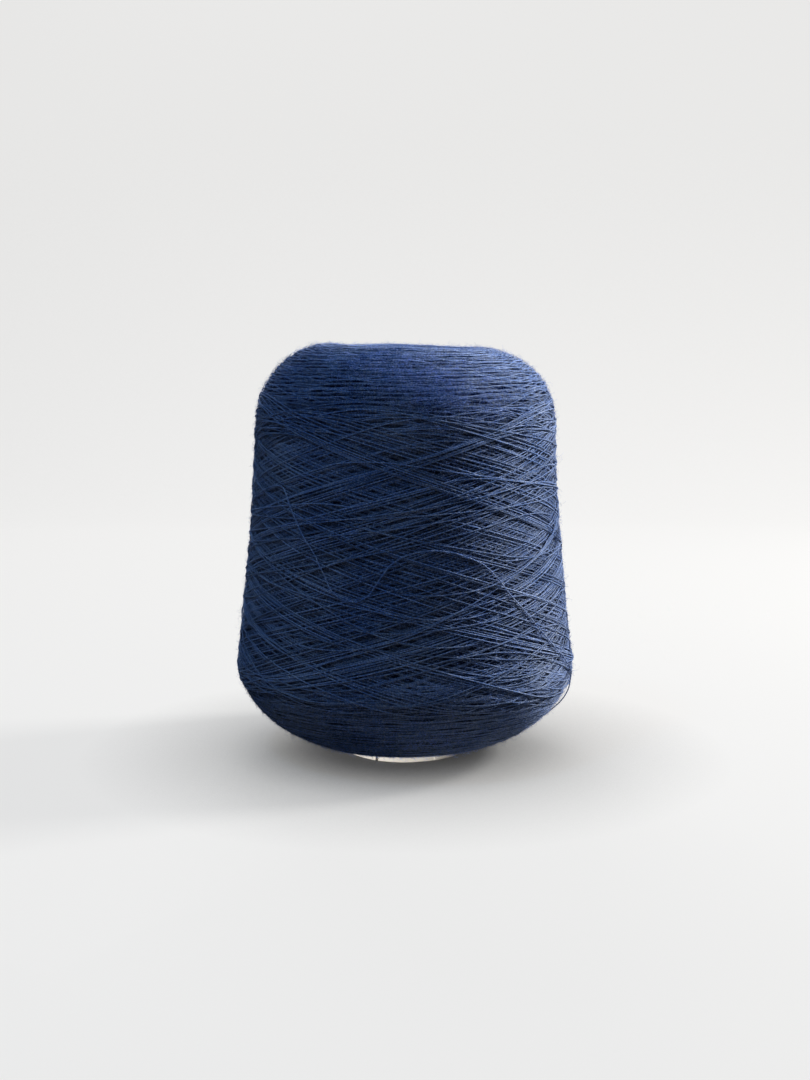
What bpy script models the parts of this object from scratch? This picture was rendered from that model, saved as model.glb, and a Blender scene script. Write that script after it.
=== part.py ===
"""A cone of yarn: a paper cone with one long yarn cross-wound on it.

Metres, +Z up. The cone stands on its wide end, centred on the origin, and its axis is Z.
The front of the object faces -Y. Angles round the axis are azimuths, counted from +X
towards +Y, so the front is at -90 degrees.

Four pieces make the object: the paper cone, the wound yarn on it, the yarn's inner end,
which leaves through the notch in the cone's rim, and its outer end, which lies loose on
the winding. The yarn is one strand in life. Its ends are pieces of their own here,
because they lie free of the winding.
"""

import math

import bpy
import bmesh
from mathutils import Matrix, Vector

# Paper cone, a tube of rolled paper of the usual taper, 4 degrees 20 minutes a side.
CONE_LENGTH = 0.200
CONE_BASE_RADIUS = 0.031
CONE_HALF_ANGLE = math.radians(4 + 20 / 60)
CONE_WALL = 0.0025
RIM_ROUNDING = 0.0004
NOSE_BEAD = 0.0038  # the lip at the nose, where the paper is turned in
NOSE_BEAD_LENGTH = 0.006

# Notch in the base rim, which holds the yarn's inner end.
NOTCH_AZIMUTH = math.radians(-117)
NOTCH_WIDTH = 0.0013
NOTCH_DEPTH = 0.0030
NOTCH_OVERRUN = 0.0025  # how far its cutter runs past the wall on either side

# Wound yarn, from its foot on the cone up to the dish round the cone's nose.
FOOT_HEIGHT = 0.005
FOOT_HOLLOW = 1.2  # 1 is a round underside; more draws it in below the belly
BELLY_HEIGHT = 0.045
BELLY_RADIUS = 0.0842
SHOULDER_HEIGHT = 0.166
SHOULDER_RADIUS = 0.0739
FLANK_HOLLOW = 1.5  # 1 is a straight flank; more draws it in above the belly
CREST_HEIGHT = 0.204
CREST_RADIUS = 0.036
DISH_DEPTH = 0.014

# Yarn
YARN_DIAMETER = 0.0007

# What touches in life keeps this gap, because the solids may not overlap.
FIT_GAP = 0.0003

# Fineness of the solids
TURN_STEPS = 64
FOOT_STEPS = 9
FLANK_STEPS = 5
SHOULDER_STEPS = 7
DISH_STEPS = 5
ROUNDING_STEPS = 2
BEAD_STEPS = 6
OUTER_END_POINTS = 80
INNER_END_POINTS = 30
SPAN_SAMPLES = 24
STATION_STEP = 0.001  # over which the outline's direction is read

# The outer end's route over the winding: azimuth in degrees, station on the outline
# (0 foot, 1 belly, 2 shoulder, 3 crest) and how far it stands off the winding.
OUTER_END_ROUTE = (
    (-190, 1.59, 0.0),
    (-175, 1.64, 0.0),
    (-160, 1.71, 0.0),
    (-148, 1.755, 0.0),
    (-139, 1.765, 0.0),
    (-133, 1.68, 0.0),
    (-128, 1.60, 0.0),
    (-123, 1.535, 0.0),
    (-119, 1.47, 0.0),
    (-116.5, 1.415, 0.0),
    (-113, 1.372, 0.0),
    (-107.5, 1.354, 0.0),
    (-102.5, 1.375, 0.0),
    (-99, 1.43, 0.0),
    (-95, 1.492, 0.0),
    (-90, 1.529, 0.0),
    (-83, 1.547, 0.0),
    (-76, 1.543, 0.0),
    (-70, 1.524, 0.0),
    (-63, 1.487, 0.0),
    (-57.5, 1.43, 0.0),
    (-54, 1.38, 0.0),
    (-48.5, 1.315, 0.0),
    (-43, 1.252, 0.0),
    (-35, 1.161, 0.0),
    (-27, 1.090, 0.0),
    (-19, 1.030, 0.0),
    (-15, 0.955, 0.0002),
    (-13.5, 0.875, 0.0011),
    (-12.5, 0.79, 0.0017),
    (-12, 0.70, 0.0014),
    (-11, 0.60, 0.0004),
    (-8, 0.50, 0.0),
    (-2, 0.41, 0.0),
    (8, 0.33, 0.0),
    (22, 0.26, 0.0),
    (40, 0.20, 0.0),
    (60, 0.14, 0.0),
    (82, 0.085, 0.0),
    (104, 0.055, 0.0),
)

# The inner end's route: degrees round from the notch, how far in from the outside of the
# base rim, and height. It comes from under the winding, goes in through the notch and
# lies along the inside of the rim.
INNER_END_ROUTE = (
    (0, -0.0032, 0.0043),
    (0, -0.0014, 0.0031),
    (0, 0.0012, 0.0016),
    (0, 0.0034, 0.0009),
    (5, 0.0046, 0.0005),
    (16, 0.0050, 0.0004),
    (34, 0.0047, 0.0004),
    (54, 0.0054, 0.0004),
    (76, 0.0064, 0.0004),
    (98, 0.0060, 0.0004),
    (118, 0.0048, 0.0004),
)

PAPER_COLOUR = (0.62, 0.56, 0.47)
YARN_COLOUR = (0.020, 0.036, 0.125)


def clear_scene():
    """Removes what a new file starts with."""
    for item in list(bpy.data.objects):
        bpy.data.objects.remove(item)


def finish_material(name, colour, roughness):
    """Returns a matt material of one colour."""
    material = bpy.data.materials.new(name)
    material.use_nodes = True
    shader = material.node_tree.nodes["Principled BSDF"]
    shader.inputs["Base Color"].default_value = (*colour, 1)
    shader.inputs["Roughness"].default_value = roughness
    shader.inputs["Metallic"].default_value = 0
    material.diffuse_color = (*colour, 1)
    return material


def add_object(name, data, material):
    """Puts mesh or curve data into the scene under one material."""
    data.materials.append(material)
    item = bpy.data.objects.new(name, data)
    bpy.context.collection.objects.link(item)
    return item


def quarter_turn(steps):
    """Yields the sine and cosine of each step from 0 to 90 degrees, both ends included."""
    for step in range(steps + 1):
        angle = math.pi / 2 * step / steps
        yield math.sin(angle), math.cos(angle)


def cone_radius(height):
    """Outside radius of the paper cone at a height above its base rim."""
    return CONE_BASE_RADIUS - height * math.tan(CONE_HALF_ANGLE)


def bore_radius(height):
    """Inside radius of the winding, which sits on the cone."""
    return cone_radius(height) + FIT_GAP


def cone_outline():
    """Closed outline of the cone's wall as (radius, height), down its outside first."""
    bead = NOSE_BEAD / 2
    bead_height = CONE_LENGTH - bead
    bead_centre = cone_radius(bead_height) - bead
    points = []
    for step in range(BEAD_STEPS + 1):
        angle = math.pi * (1 - step / BEAD_STEPS)
        points.append((bead_centre + bead * math.cos(angle), bead_height + bead * math.sin(angle)))
    base = cone_radius(0)
    for sine, cosine in quarter_turn(ROUNDING_STEPS):
        points.append((base - RIM_ROUNDING * (1 - cosine), RIM_ROUNDING * (1 - sine)))
    inside = base - CONE_WALL
    for sine, cosine in quarter_turn(ROUNDING_STEPS):
        points.append((inside + RIM_ROUNDING * (1 - sine), RIM_ROUNDING * (1 - cosine)))
    bead_end = CONE_LENGTH - NOSE_BEAD - NOSE_BEAD_LENGTH
    points.append((cone_radius(bead_end) - CONE_WALL, bead_end))
    points.append((bead_centre - bead, CONE_LENGTH - NOSE_BEAD))
    return points


def winding_point(station):
    """A point (radius, height) on the winding's outside.

    Station 0 is the foot, 1 the belly, 2 the shoulder and 3 the crest.
    """
    if station <= 1:
        angle = math.pi / 2 * station
        foot = bore_radius(FOOT_HEIGHT)
        radius = foot + (BELLY_RADIUS - foot) * math.sin(angle)
        drop = max(math.cos(angle), 0) ** FOOT_HOLLOW
        return radius, BELLY_HEIGHT - (BELLY_HEIGHT - FOOT_HEIGHT) * drop
    if station <= 2:
        share = station - 1
        hollow = (1 - share) ** FLANK_HOLLOW
        radius = SHOULDER_RADIUS + (BELLY_RADIUS - SHOULDER_RADIUS) * hollow
        return radius, BELLY_HEIGHT + (SHOULDER_HEIGHT - BELLY_HEIGHT) * share
    angle = math.pi / 2 * (station - 2)
    radius = CREST_RADIUS + (SHOULDER_RADIUS - CREST_RADIUS) * math.cos(angle)
    return radius, SHOULDER_HEIGHT + (CREST_HEIGHT - SHOULDER_HEIGHT) * math.sin(angle)


def dish_point(share):
    """A point (radius, height) in the dish: share 0 is the crest, 1 the cone's side."""
    floor = CREST_HEIGHT - DISH_DEPTH
    radius = CREST_RADIUS + (bore_radius(floor) - CREST_RADIUS) * share
    drop = share * share * (3 - 2 * share)
    return radius, CREST_HEIGHT - DISH_DEPTH * drop


def winding_outline():
    """Closed outline of the wound yarn as (radius, height), down its outside first."""
    points = [dish_point(1 - step / DISH_STEPS) for step in range(DISH_STEPS)]
    points += [winding_point(3 - step / SHOULDER_STEPS) for step in range(SHOULDER_STEPS)]
    points += [winding_point(2 - step / FLANK_STEPS) for step in range(FLANK_STEPS)]
    points += [winding_point(1 - step / FOOT_STEPS) for step in range(FOOT_STEPS + 1)]
    return points


def turned_piece(name, outline, material):
    """Turns a closed outline about Z into a smooth-shaded ring of a piece."""
    mesh = bpy.data.meshes.new(name)
    count = len(outline)
    edges = [(index, (index + 1) % count) for index in range(count)]
    mesh.from_pydata([(radius, 0, height) for radius, height in outline], edges, [])
    piece = add_object(name, mesh, material)
    turn = piece.modifiers.new("turn", "SCREW")
    turn.axis = "Z"
    turn.angle = math.tau
    turn.steps = TURN_STEPS
    turn.render_steps = TURN_STEPS
    turn.use_merge_vertices = True
    turn.merge_threshold = 0.00001
    turn.use_smooth_shade = True
    return piece


def notch_cutter():
    """Returns the guide block that cuts the notch: it runs through one side of the rim."""
    reach = CONE_WALL + 2 * NOTCH_OVERRUN
    block = bpy.data.meshes.new("notch_cutter")
    shape = bmesh.new()
    bmesh.ops.create_cube(shape, size=1)
    place = Matrix.Rotation(NOTCH_AZIMUTH, 4, "Z")
    place @= Matrix.Translation((CONE_BASE_RADIUS - CONE_WALL / 2, 0, 0))
    place @= Matrix.Diagonal((reach, NOTCH_WIDTH, NOTCH_DEPTH * 2, 1))
    bmesh.ops.transform(shape, matrix=place, verts=shape.verts)
    shape.to_mesh(block)
    shape.free()
    cutter = bpy.data.objects.new("notch_cutter", block)
    bpy.context.collection.objects.link(cutter)
    cutter.hide_render = True
    cutter.display_type = "WIRE"
    return cutter


def make_paper_cone(paper):
    """The rolled paper cone with its notch."""
    cone = turned_piece("paper_cone", cone_outline(), paper)
    cut = cone.modifiers.new("notch", "BOOLEAN")
    cut.operation = "DIFFERENCE"
    cut.object = notch_cutter()
    return cone


def catmull_rom(points, samples):
    """Reads a smooth curve through points, with a number of samples on each span."""
    knots = [Vector(point) for point in points]
    knots = [2 * knots[0] - knots[1], *knots, 2 * knots[-1] - knots[-2]]
    curve = []
    for first, second, third, fourth in zip(knots, knots[1:], knots[2:], knots[3:]):
        for sample in range(samples):
            t = sample / samples
            curve.append(
                0.5
                * (
                    2 * second
                    + (third - first) * t
                    + (2 * first - 5 * second + 4 * third - fourth) * t**2
                    + (3 * second - first - 3 * third + fourth) * t**3
                )
            )
    curve.append(knots[-2])
    return curve


def even_points(curve, count):
    """Spaces a number of points evenly along a dense curve."""
    reach = [0.0]
    for start, end in zip(curve, curve[1:]):
        reach.append(reach[-1] + (end - start).length)
    points = []
    span = 0
    for index in range(count):
        target = reach[-1] * index / (count - 1)
        while span < len(curve) - 2 and reach[span + 1] < target:
            span += 1
        share = (target - reach[span]) / (reach[span + 1] - reach[span])
        points.append(curve[span].lerp(curve[span + 1], share))
    return points


def around(azimuth, radius, height):
    """A point from its azimuth in degrees, its radius and its height."""
    angle = math.radians(azimuth)
    return Vector((radius * math.cos(angle), radius * math.sin(angle), height))


def over_winding(azimuth, station, lift):
    """A point that lies on the winding, or stands off it by lift."""
    low = Vector(winding_point(max(station - STATION_STEP, 0)))
    high = Vector(winding_point(min(station + STATION_STEP, 3)))
    along = (high - low).normalized()
    outward = Vector((along.y, -along.x))
    place = Vector(winding_point(station)) + outward * (YARN_DIAMETER / 2 + FIT_GAP + lift)
    return around(azimuth, place.x, place.y)


def inside_rim(turn, inset, height):
    """A point by the base rim: turn from the notch, inset from the rim's outside."""
    return around(math.degrees(NOTCH_AZIMUTH) + turn, CONE_BASE_RADIUS - inset, height)


def yarn_piece(name, points, material):
    """A round yarn along points, closed at both ends."""
    path = bpy.data.curves.new(name, "CURVE")
    path.dimensions = "3D"
    path.bevel_depth = YARN_DIAMETER / 2
    path.bevel_resolution = 2
    path.use_fill_caps = True
    spline = path.splines.new("POLY")
    spline.points.add(len(points) - 1)
    for knot, point in zip(spline.points, points):
        knot.co = (*point, 1)
    return add_object(name, path, material)


def make_outer_end(yarn):
    """The yarn's outer end, which lies loose on the winding and is tucked in below it."""
    route = catmull_rom(OUTER_END_ROUTE, SPAN_SAMPLES)
    return yarn_piece(
        "outer_end", even_points([over_winding(*place) for place in route], OUTER_END_POINTS), yarn
    )


def make_inner_end(yarn):
    """The yarn's inner end, which goes in through the notch and lies inside the rim."""
    route = catmull_rom(INNER_END_ROUTE, SPAN_SAMPLES)
    return yarn_piece(
        "inner_end", even_points([inside_rim(*place) for place in route], INNER_END_POINTS), yarn
    )


def main():
    """Builds the four pieces."""
    clear_scene()
    paper = finish_material("cone_paper", PAPER_COLOUR, 0.85)
    yarn = finish_material("wool_yarn", YARN_COLOUR, 0.9)
    make_paper_cone(paper)
    turned_piece("wound_yarn", winding_outline(), yarn)
    make_outer_end(yarn)
    make_inner_end(yarn)


main()
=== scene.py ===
"""Dresses a cone of yarn: wound wool on a rolled paper cone, with its two loose ends.

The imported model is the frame. The winding is laid strand by strand, as a winder lays it:
arcs round both ends of the package, then strokes across its flank, each resting on the
strands that already lie there. Metres, +Z up, the front faces -Y. A turn is an angle
round the axis, counted from +X towards +Y, and a place is a length along the winding's
outline, from its foot on the cone over the belly and the crest into the dish.
"""

from __future__ import annotations

import logging
import math
from dataclasses import dataclass, field
from enum import Enum

import bpy
import numpy as np
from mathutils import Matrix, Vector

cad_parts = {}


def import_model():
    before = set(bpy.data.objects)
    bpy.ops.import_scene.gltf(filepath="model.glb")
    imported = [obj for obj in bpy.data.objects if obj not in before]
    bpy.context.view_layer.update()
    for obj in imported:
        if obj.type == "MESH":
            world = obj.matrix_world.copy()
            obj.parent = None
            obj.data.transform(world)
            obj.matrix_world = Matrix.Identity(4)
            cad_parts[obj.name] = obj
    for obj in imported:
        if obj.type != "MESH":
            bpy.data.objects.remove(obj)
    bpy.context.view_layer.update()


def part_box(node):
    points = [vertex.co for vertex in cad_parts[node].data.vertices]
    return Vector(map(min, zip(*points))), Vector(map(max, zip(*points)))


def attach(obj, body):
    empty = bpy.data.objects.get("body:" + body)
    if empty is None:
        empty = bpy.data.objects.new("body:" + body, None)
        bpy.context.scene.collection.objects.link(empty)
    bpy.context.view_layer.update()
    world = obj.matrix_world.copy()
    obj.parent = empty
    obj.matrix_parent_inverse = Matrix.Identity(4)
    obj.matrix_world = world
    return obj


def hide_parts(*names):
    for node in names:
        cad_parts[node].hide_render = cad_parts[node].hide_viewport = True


BODY = "root"
GOLDEN_SHARE = 0.6180339  # of a turn, from one strand to the next

log = logging.getLogger("cone_of_yarn")


# ---------------------------------------------------------------- node helpers


class Nodes:
    """Adds nodes to a tree and links them, one short call at a time."""

    NOISE_ROUGHNESS = 0.55

    def __init__(self, tree: bpy.types.NodeTree) -> None:
        """Keeps the tree that nodes are added to."""
        self.tree = tree

    def add(self, kind: str, **settings: object) -> bpy.types.Node:
        """Adds a node.

        Args:
            kind: the node's type name without its ShaderNode prefix.
            settings: properties of the node to set.

        Returns:
            The new node.
        """
        node = self.tree.nodes.new(kind if kind.startswith("Node") else f"ShaderNode{kind}")
        for name, value in settings.items():
            setattr(node, name, value)
        return node

    def feed(self, socket: bpy.types.NodeSocket, value: object) -> None:
        """Links a socket to an output, or sets its plain value.

        Args:
            socket: the input socket.
            value: another node's output, or a plain value.
        """
        if isinstance(value, bpy.types.NodeSocket):
            self.tree.links.new(value, socket)
        else:
            socket.default_value = value

    def maths(self, operation: str, *values: object) -> bpy.types.NodeSocket:
        """Adds one Math node.

        Args:
            operation: the node's operation.
            values: what is fed to its inputs.

        Returns:
            Its result.
        """
        node = self.add("Math", operation=operation)
        for socket, value in zip(node.inputs, values):
            self.feed(socket, value)
        return node.outputs[0]

    def noise(self, vector: object, scale: float, detail: float) -> bpy.types.NodeSocket:
        """Adds a noise pattern.

        Args:
            vector: where the pattern is read.
            scale: how fine it is.
            detail: how many finer layers it has.

        Returns:
            The pattern's value.
        """
        node = self.add("TexNoise")
        self.feed(node.inputs["Vector"], vector)
        node.inputs["Scale"].default_value = scale
        node.inputs["Detail"].default_value = detail
        node.inputs["Roughness"].default_value = self.NOISE_ROUGHNESS
        return node.outputs["Fac"]

    def spread(
        self, value: object, low: float, high: float, to_low: float, to_high: float
    ) -> bpy.types.NodeSocket:
        """Takes a value from one range to another, held at its ends.

        Args:
            value: the value.
            low: the low end of its range.
            high: the high end of its range.
            to_low: what the low end becomes.
            to_high: what the high end becomes.

        Returns:
            The new value.
        """
        node = self.add("MapRange")
        for socket, number in zip(node.inputs, (value, low, high, to_low, to_high)):
            self.feed(socket, number)
        return node.outputs[0]

    def blend(
        self, factor: object, first: object, second: object, mode: str = "MIX"
    ) -> bpy.types.NodeSocket:
        """Mixes two colours.

        Args:
            factor: the second colour's share.
            first: the first colour.
            second: the second colour.
            mode: how they are mixed.

        Returns:
            The mixed colour.
        """
        node = self.add("Mix", data_type="RGBA", blend_type=mode)
        self.feed(node.inputs[0], factor)
        self.feed(node.inputs[6], first)
        self.feed(node.inputs[7], second)
        return node.outputs[2]

    def dim(self, colour: object, value: object) -> bpy.types.NodeSocket:
        """Darkens a colour.

        Args:
            colour: the colour.
            value: what each of its channels is multiplied by.

        Returns:
            The darker colour.
        """
        grey = self.add("CombineColor")
        for socket in grey.inputs[:3]:
            self.feed(socket, value)
        return self.blend(1.0, colour, grey.outputs[0], "MULTIPLY")

    def seen(self) -> bpy.types.NodeSocket:
        """Adds a mask of what the camera sees, straight or by way of metal or glass.

        Returns:
            The mask, which is 1 for such a ray and 0 for the others.
        """
        path = self.add("LightPath").outputs
        seen = self.maths("MAXIMUM", path["Is Camera Ray"], path["Is Glossy Ray"])
        return self.maths("MAXIMUM", seen, path["Is Transmission Ray"])


class ShaderGroup:
    """A shader node group with named inputs and outputs, built once."""

    def __init__(self, name: str, inputs: dict[str, object], outputs: dict[str, str]) -> None:
        """Makes the group's sockets.

        Args:
            name: the group's name.
            inputs: each input's default, a number or a colour of four numbers.
            outputs: each output's socket type, Float or Color.
        """
        self.tree = bpy.data.node_groups.new(name, "ShaderNodeTree")
        self.nodes = Nodes(self.tree)
        sockets = self.tree.interface
        for label, default in inputs.items():
            kind = "NodeSocketColor" if isinstance(default, tuple) else "NodeSocketFloat"
            sockets.new_socket(label, in_out="INPUT", socket_type=kind).default_value = default
        for label, kind in outputs.items():
            sockets.new_socket(label, in_out="OUTPUT", socket_type=f"NodeSocket{kind}")
        self.inputs = self.nodes.add("NodeGroupInput").outputs
        self.outputs = self.nodes.add("NodeGroupOutput").inputs

    def place(self, nodes: Nodes, **values: object) -> bpy.types.NodeOutputs:
        """Places the group in a material.

        Args:
            nodes: the material's nodes.
            values: an input's value, by its name with _ for each space.

        Returns:
            The placed group's outputs.
        """
        node = nodes.add("Group", node_tree=self.tree)
        for label, value in values.items():
            nodes.feed(node.inputs[label.replace("_", " ")], value)
        return node.outputs


def twist_group() -> ShaderGroup:
    """The twist of two plies and their fibres, along a strand whose UV runs in metres.

    Returns:
        The group. Height is the relief. Its second output is 1 between the plies and its third is 1
        low on the strand's sides, where it meets its neighbours; both are masks for painted shade.
    """
    group = ShaderGroup(
        "ply_twist",
        {"Pitch": 0.003, "Fibre": 0.35, "Pinch": 0.04},
        {"Height": "Float", "Painted Ply Gap Shade": "Float", "Painted Side Shade": "Float"},
    )
    n = group.nodes
    split = n.add("SeparateXYZ")
    n.feed(split.inputs[0], n.add("UVMap", uv_map="strand").outputs[0])
    along = n.maths("DIVIDE", split.outputs[0], group.inputs["Pitch"])
    phase = n.maths("ADD", along, split.outputs[1])
    ply = n.maths("ABSOLUTE", n.maths("SINE", n.maths("MULTIPLY", phase, math.tau)))
    streak = n.add("CombineXYZ")
    n.feed(streak.inputs[0], n.maths("MULTIPLY", split.outputs[0], 260.0))
    n.feed(streak.inputs[1], n.maths("MULTIPLY", phase, 9.0))
    fibre = n.noise(streak.outputs[0], 1.0, 2)
    height = n.maths("ADD", ply, n.maths("MULTIPLY", fibre, group.inputs["Fibre"]))
    n.feed(group.outputs["Height"], height)
    # Painted shade: a mask for darkening the strand's colour in the grooves between its plies.
    n.feed(group.outputs["Painted Ply Gap Shade"], n.spread(ply, 0.0, 0.55, 1.0, 0.0))
    # Painted shade: a mask for darkening the strand low on its sides, where it meets its neighbours; it
    # reaches further up where the plies pinch, twice each twist.
    low = n.maths("ABSOLUTE", n.maths("SUBTRACT", split.outputs[1], 0.5))
    pinch = n.maths("ADD", n.maths("SINE", n.maths("MULTIPLY", along, 2 * math.tau)), 1.0)
    low = n.maths("SUBTRACT", low, n.maths("MULTIPLY", pinch, group.inputs["Pinch"]))
    n.feed(group.outputs["Painted Side Shade"], n.spread(low, 0.42, 0.24, 0.0, 1.0))
    return group


def tone_group() -> ShaderGroup:
    """The dye's unevenness over the package: soft patches and fine flecks.

    Returns:
        The group. Its Colour is the given one, a little lighter or darker from place to place.
    """
    group = ShaderGroup(
        "dye_tone",
        {
            "Colour": (0.02, 0.04, 0.1, 1),
            "Lighter": (0.05, 0.08, 0.2, 1),
            "Patches": 0.3,
            "Flecks": 0.3,
        },
        {"Colour": "Color"},
    )
    n = group.nodes
    where = n.add("TexCoord").outputs["Object"]
    patch = n.spread(n.noise(where, 26.0, 2), 0.35, 0.68, 0.0, 1.0)
    fleck = n.spread(n.noise(where, 1200.0, 3), 0.48, 0.62, 0.0, 1.0)
    share = n.maths("MULTIPLY", patch, group.inputs["Patches"])
    share = n.maths("ADD", share, n.maths("MULTIPLY", fleck, group.inputs["Flecks"]))
    n.feed(group.outputs["Colour"], n.blend(share, group.inputs["Colour"], group.inputs["Lighter"]))
    return group


# ---------------------------------------------------------------- finishes


class Finish:
    """Base of the finishes: makes a material with one Principled shader."""

    @staticmethod
    def start(name: str) -> tuple[bpy.types.Material, Nodes, bpy.types.Node]:
        """Starts a material.

        Args:
            name: the material's name.

        Returns:
            The material, its nodes and its Principled shader.
        """
        material = bpy.data.materials.new(name)
        material.use_nodes = True
        return material, Nodes(material.node_tree), material.node_tree.nodes["Principled BSDF"]


@dataclass(frozen=True)
class WoolFinish(Finish):
    """Dyed wool: matt, with a soft sheen, with painted shade in the grooves between the plies of each
    strand and low on its sides.
    """

    name: str
    colour: tuple[float, float, float] = (0.130, 0.245, 0.590)
    lighter: tuple[float, float, float] = (0.610, 0.715, 0.950)
    patches: float = 0.35
    flecks: float = 0.60
    pitch: float = 0.0027
    # Painted shade: how far the grooves between the plies, and each strand's lower sides, are darkened.
    painted_ply_gap_shade: float = 0.55
    painted_side_shade: float = 0.75
    relief: float = 0.00008
    relief_strength: float = 0.8
    roughness: float = 0.85
    specular: float = 0.04
    sheen: float = 0.50
    sheen_roughness: float = 0.35
    sheen_tint: tuple[float, float, float] = (0.62, 0.73, 1.0)

    def material(self, tone: ShaderGroup, twist: ShaderGroup | None) -> bpy.types.Material:
        """Builds the material.

        Args:
            tone: the dye's unevenness.
            twist: the twist of the plies, or None for loose fibres.

        Returns:
            The finished material.
        """
        material, n, shader = self.start(self.name)
        colour = tone.place(
            n,
            Colour=(*self.colour, 1),
            Lighter=(*self.lighter, 1),
            Patches=self.patches,
            Flecks=self.flecks,
        )["Colour"]
        # The tone attribute holds each piece's own random tone; on the winding it also holds painted
        # light and shade, strands darker the deeper they lie and the core darker still.
        strand = n.add("Attribute", attribute_name="tone").outputs["Fac"]
        colour = n.dim(colour, strand)
        if twist is not None:
            relief = twist.place(n, Pitch=self.pitch)
            # Painted shade: the colour is darkened in the grooves between the plies and low on the
            # strand's sides.
            ply_gap_shading = n.maths("SUBTRACT", 1.0, n.maths("MULTIPLY", relief["Painted Ply Gap Shade"], self.painted_ply_gap_shade))
            low = n.maths("SUBTRACT", 1.0, n.maths("MULTIPLY", relief["Painted Side Shade"], self.painted_side_shade))
            colour = n.dim(colour, n.maths("MULTIPLY", ply_gap_shading, low))
            bump = n.add("Bump")
            bump.inputs["Strength"].default_value = self.relief_strength
            bump.inputs["Distance"].default_value = self.relief
            n.feed(bump.inputs["Height"], relief["Height"])
            n.feed(shader.inputs["Normal"], bump.outputs[0])
        n.feed(shader.inputs["Base Color"], colour)
        shader.inputs["Roughness"].default_value = self.roughness
        shader.inputs["Specular IOR Level"].default_value = self.specular
        shader.inputs["Sheen Weight"].default_value = self.sheen
        shader.inputs["Sheen Roughness"].default_value = self.sheen_roughness
        shader.inputs["Sheen Tint"].default_value = (*self.sheen_tint, 1)
        return material


@dataclass(frozen=True)
class PaperFinish(Finish):
    """Cream rolled paper with fine fibres, handled a little dirty."""

    name: str = "cone_paper"
    colour: tuple[float, float, float] = (0.75, 0.70, 0.61)
    soiled: tuple[float, float, float] = (0.60, 0.53, 0.43)
    relief: float = 0.0001
    relief_strength: float = 0.35

    def material(self) -> bpy.types.Material:
        """Builds the material.

        Returns:
            The finished material.
        """
        material, n, shader = self.start(self.name)
        where = n.add("TexCoord").outputs["Object"]
        cloud = n.spread(n.noise(where, 55.0, 4), 0.42, 0.75, 0.0, 0.55)
        fibre = n.noise(where, 1800.0, 3)
        colour = n.blend(cloud, (*self.colour, 1), (*self.soiled, 1))
        colour = n.blend(n.spread(fibre, 0.5, 0.8, 0.0, 0.25), colour, (*self.soiled, 1))
        n.feed(shader.inputs["Base Color"], colour)
        n.feed(shader.inputs["Roughness"], n.spread(fibre, 0.3, 0.7, 0.72, 0.92))
        bump = n.add("Bump")
        bump.inputs["Strength"].default_value = self.relief_strength
        bump.inputs["Distance"].default_value = self.relief
        n.feed(bump.inputs["Height"], fibre)
        n.feed(shader.inputs["Normal"], bump.outputs[0])
        return material


@dataclass(frozen=True)
class StageFinish(Finish):
    """Plain pale floor and backdrop, which the camera sees at one even tone, save for a painted contact
    shadow where its glow is dimmed by ambient occlusion near the object.
    """

    name: str = "pale_floor"
    colour: tuple[float, float, float] = (0.15, 0.149, 0.147)
    wall: tuple[float, float, float] = (0.04, 0.040, 0.040)
    wall_height: float = 0.5
    glow: float = 0.71
    wall_glow: float = 0.78
    glow_colour: tuple[float, float, float] = (1.0, 0.995, 0.985)
    shade_reach: float = 0.09
    shade_samples: int = 8
    roughness: float = 0.9
    specular: float = 0.1

    def material(self) -> bpy.types.Material:
        """Builds the material.

        Returns:
            The finished material.
        """
        material, n, shader = self.start(self.name)
        where = n.add("TexCoord").outputs["Object"]
        split = n.add("SeparateXYZ")
        n.feed(split.inputs[0], where)
        height = n.spread(split.outputs[2], 0.0, self.wall_height, 0.0, 1.0)
        tone = n.spread(n.noise(where, 3.0, 2), 0.3, 0.7, 0.985, 1.0)
        colour = n.blend(height, (*self.colour, 1), (*self.wall, 1))
        n.feed(shader.inputs["Base Color"], n.dim(colour, tone))
        glow = n.spread(split.outputs[2], 0.0, self.wall_height, self.glow, self.wall_glow)
        # Painted shadow: the camera-only glow is dimmed by ambient occlusion, darkest under and inside
        # the cone.
        shade = n.add("AmbientOcclusion", samples=self.shade_samples)
        shade.inputs["Distance"].default_value = self.shade_reach
        glow = n.maths("MULTIPLY", glow, shade.outputs["AO"])
        shader.inputs["Emission Color"].default_value = (*self.glow_colour, 1)
        n.feed(shader.inputs["Emission Strength"], n.maths("MULTIPLY", n.seen(), glow))
        shader.inputs["Roughness"].default_value = self.roughness
        shader.inputs["Specular IOR Level"].default_value = self.specular
        return material


# ---------------------------------------------------------------- shapes


def around(turn: np.ndarray, radius: np.ndarray, height: np.ndarray) -> np.ndarray:
    """Returns points from their turns, radii and heights."""
    return np.stack([radius * np.cos(turn), radius * np.sin(turn), height], -1)


def soften(values: np.ndarray, reach: int) -> np.ndarray:
    """Averages each of a row of values with its neighbours, the ends kept.

    Args:
        values: the row.
        reach: the number of neighbours on each side.

    Returns:
        The softened row.
    """
    padded = np.pad(values, reach, mode="reflect", reflect_type="odd")
    weights = np.hanning(2 * reach + 3)[1:-1]
    return np.convolve(padded, weights / weights.sum(), mode="valid")


@dataclass
class ConeShape:
    """Sizes of the paper cone."""

    length: float
    base_radius: float
    half_angle: float = math.radians(4 + 20 / 60)
    wall: float = 0.0025
    rounding: float = 0.0004
    bead: float = 0.0038
    bead_length: float = 0.006
    notch_turn: float = math.radians(-117)
    notch_width: float = 0.0013
    notch_depth: float = 0.0030
    fit_gap: float = 0.0003

    @classmethod
    def from_frame(cls) -> ConeShape:
        """Returns the cone's sizes as the frame holds them."""
        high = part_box("paper_cone")[1]
        return cls(length=high[2], base_radius=high[0])

    def radius(self, height: np.ndarray | float) -> np.ndarray | float:
        """Returns the outside radius at a height."""
        return self.base_radius - height * math.tan(self.half_angle)


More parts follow.
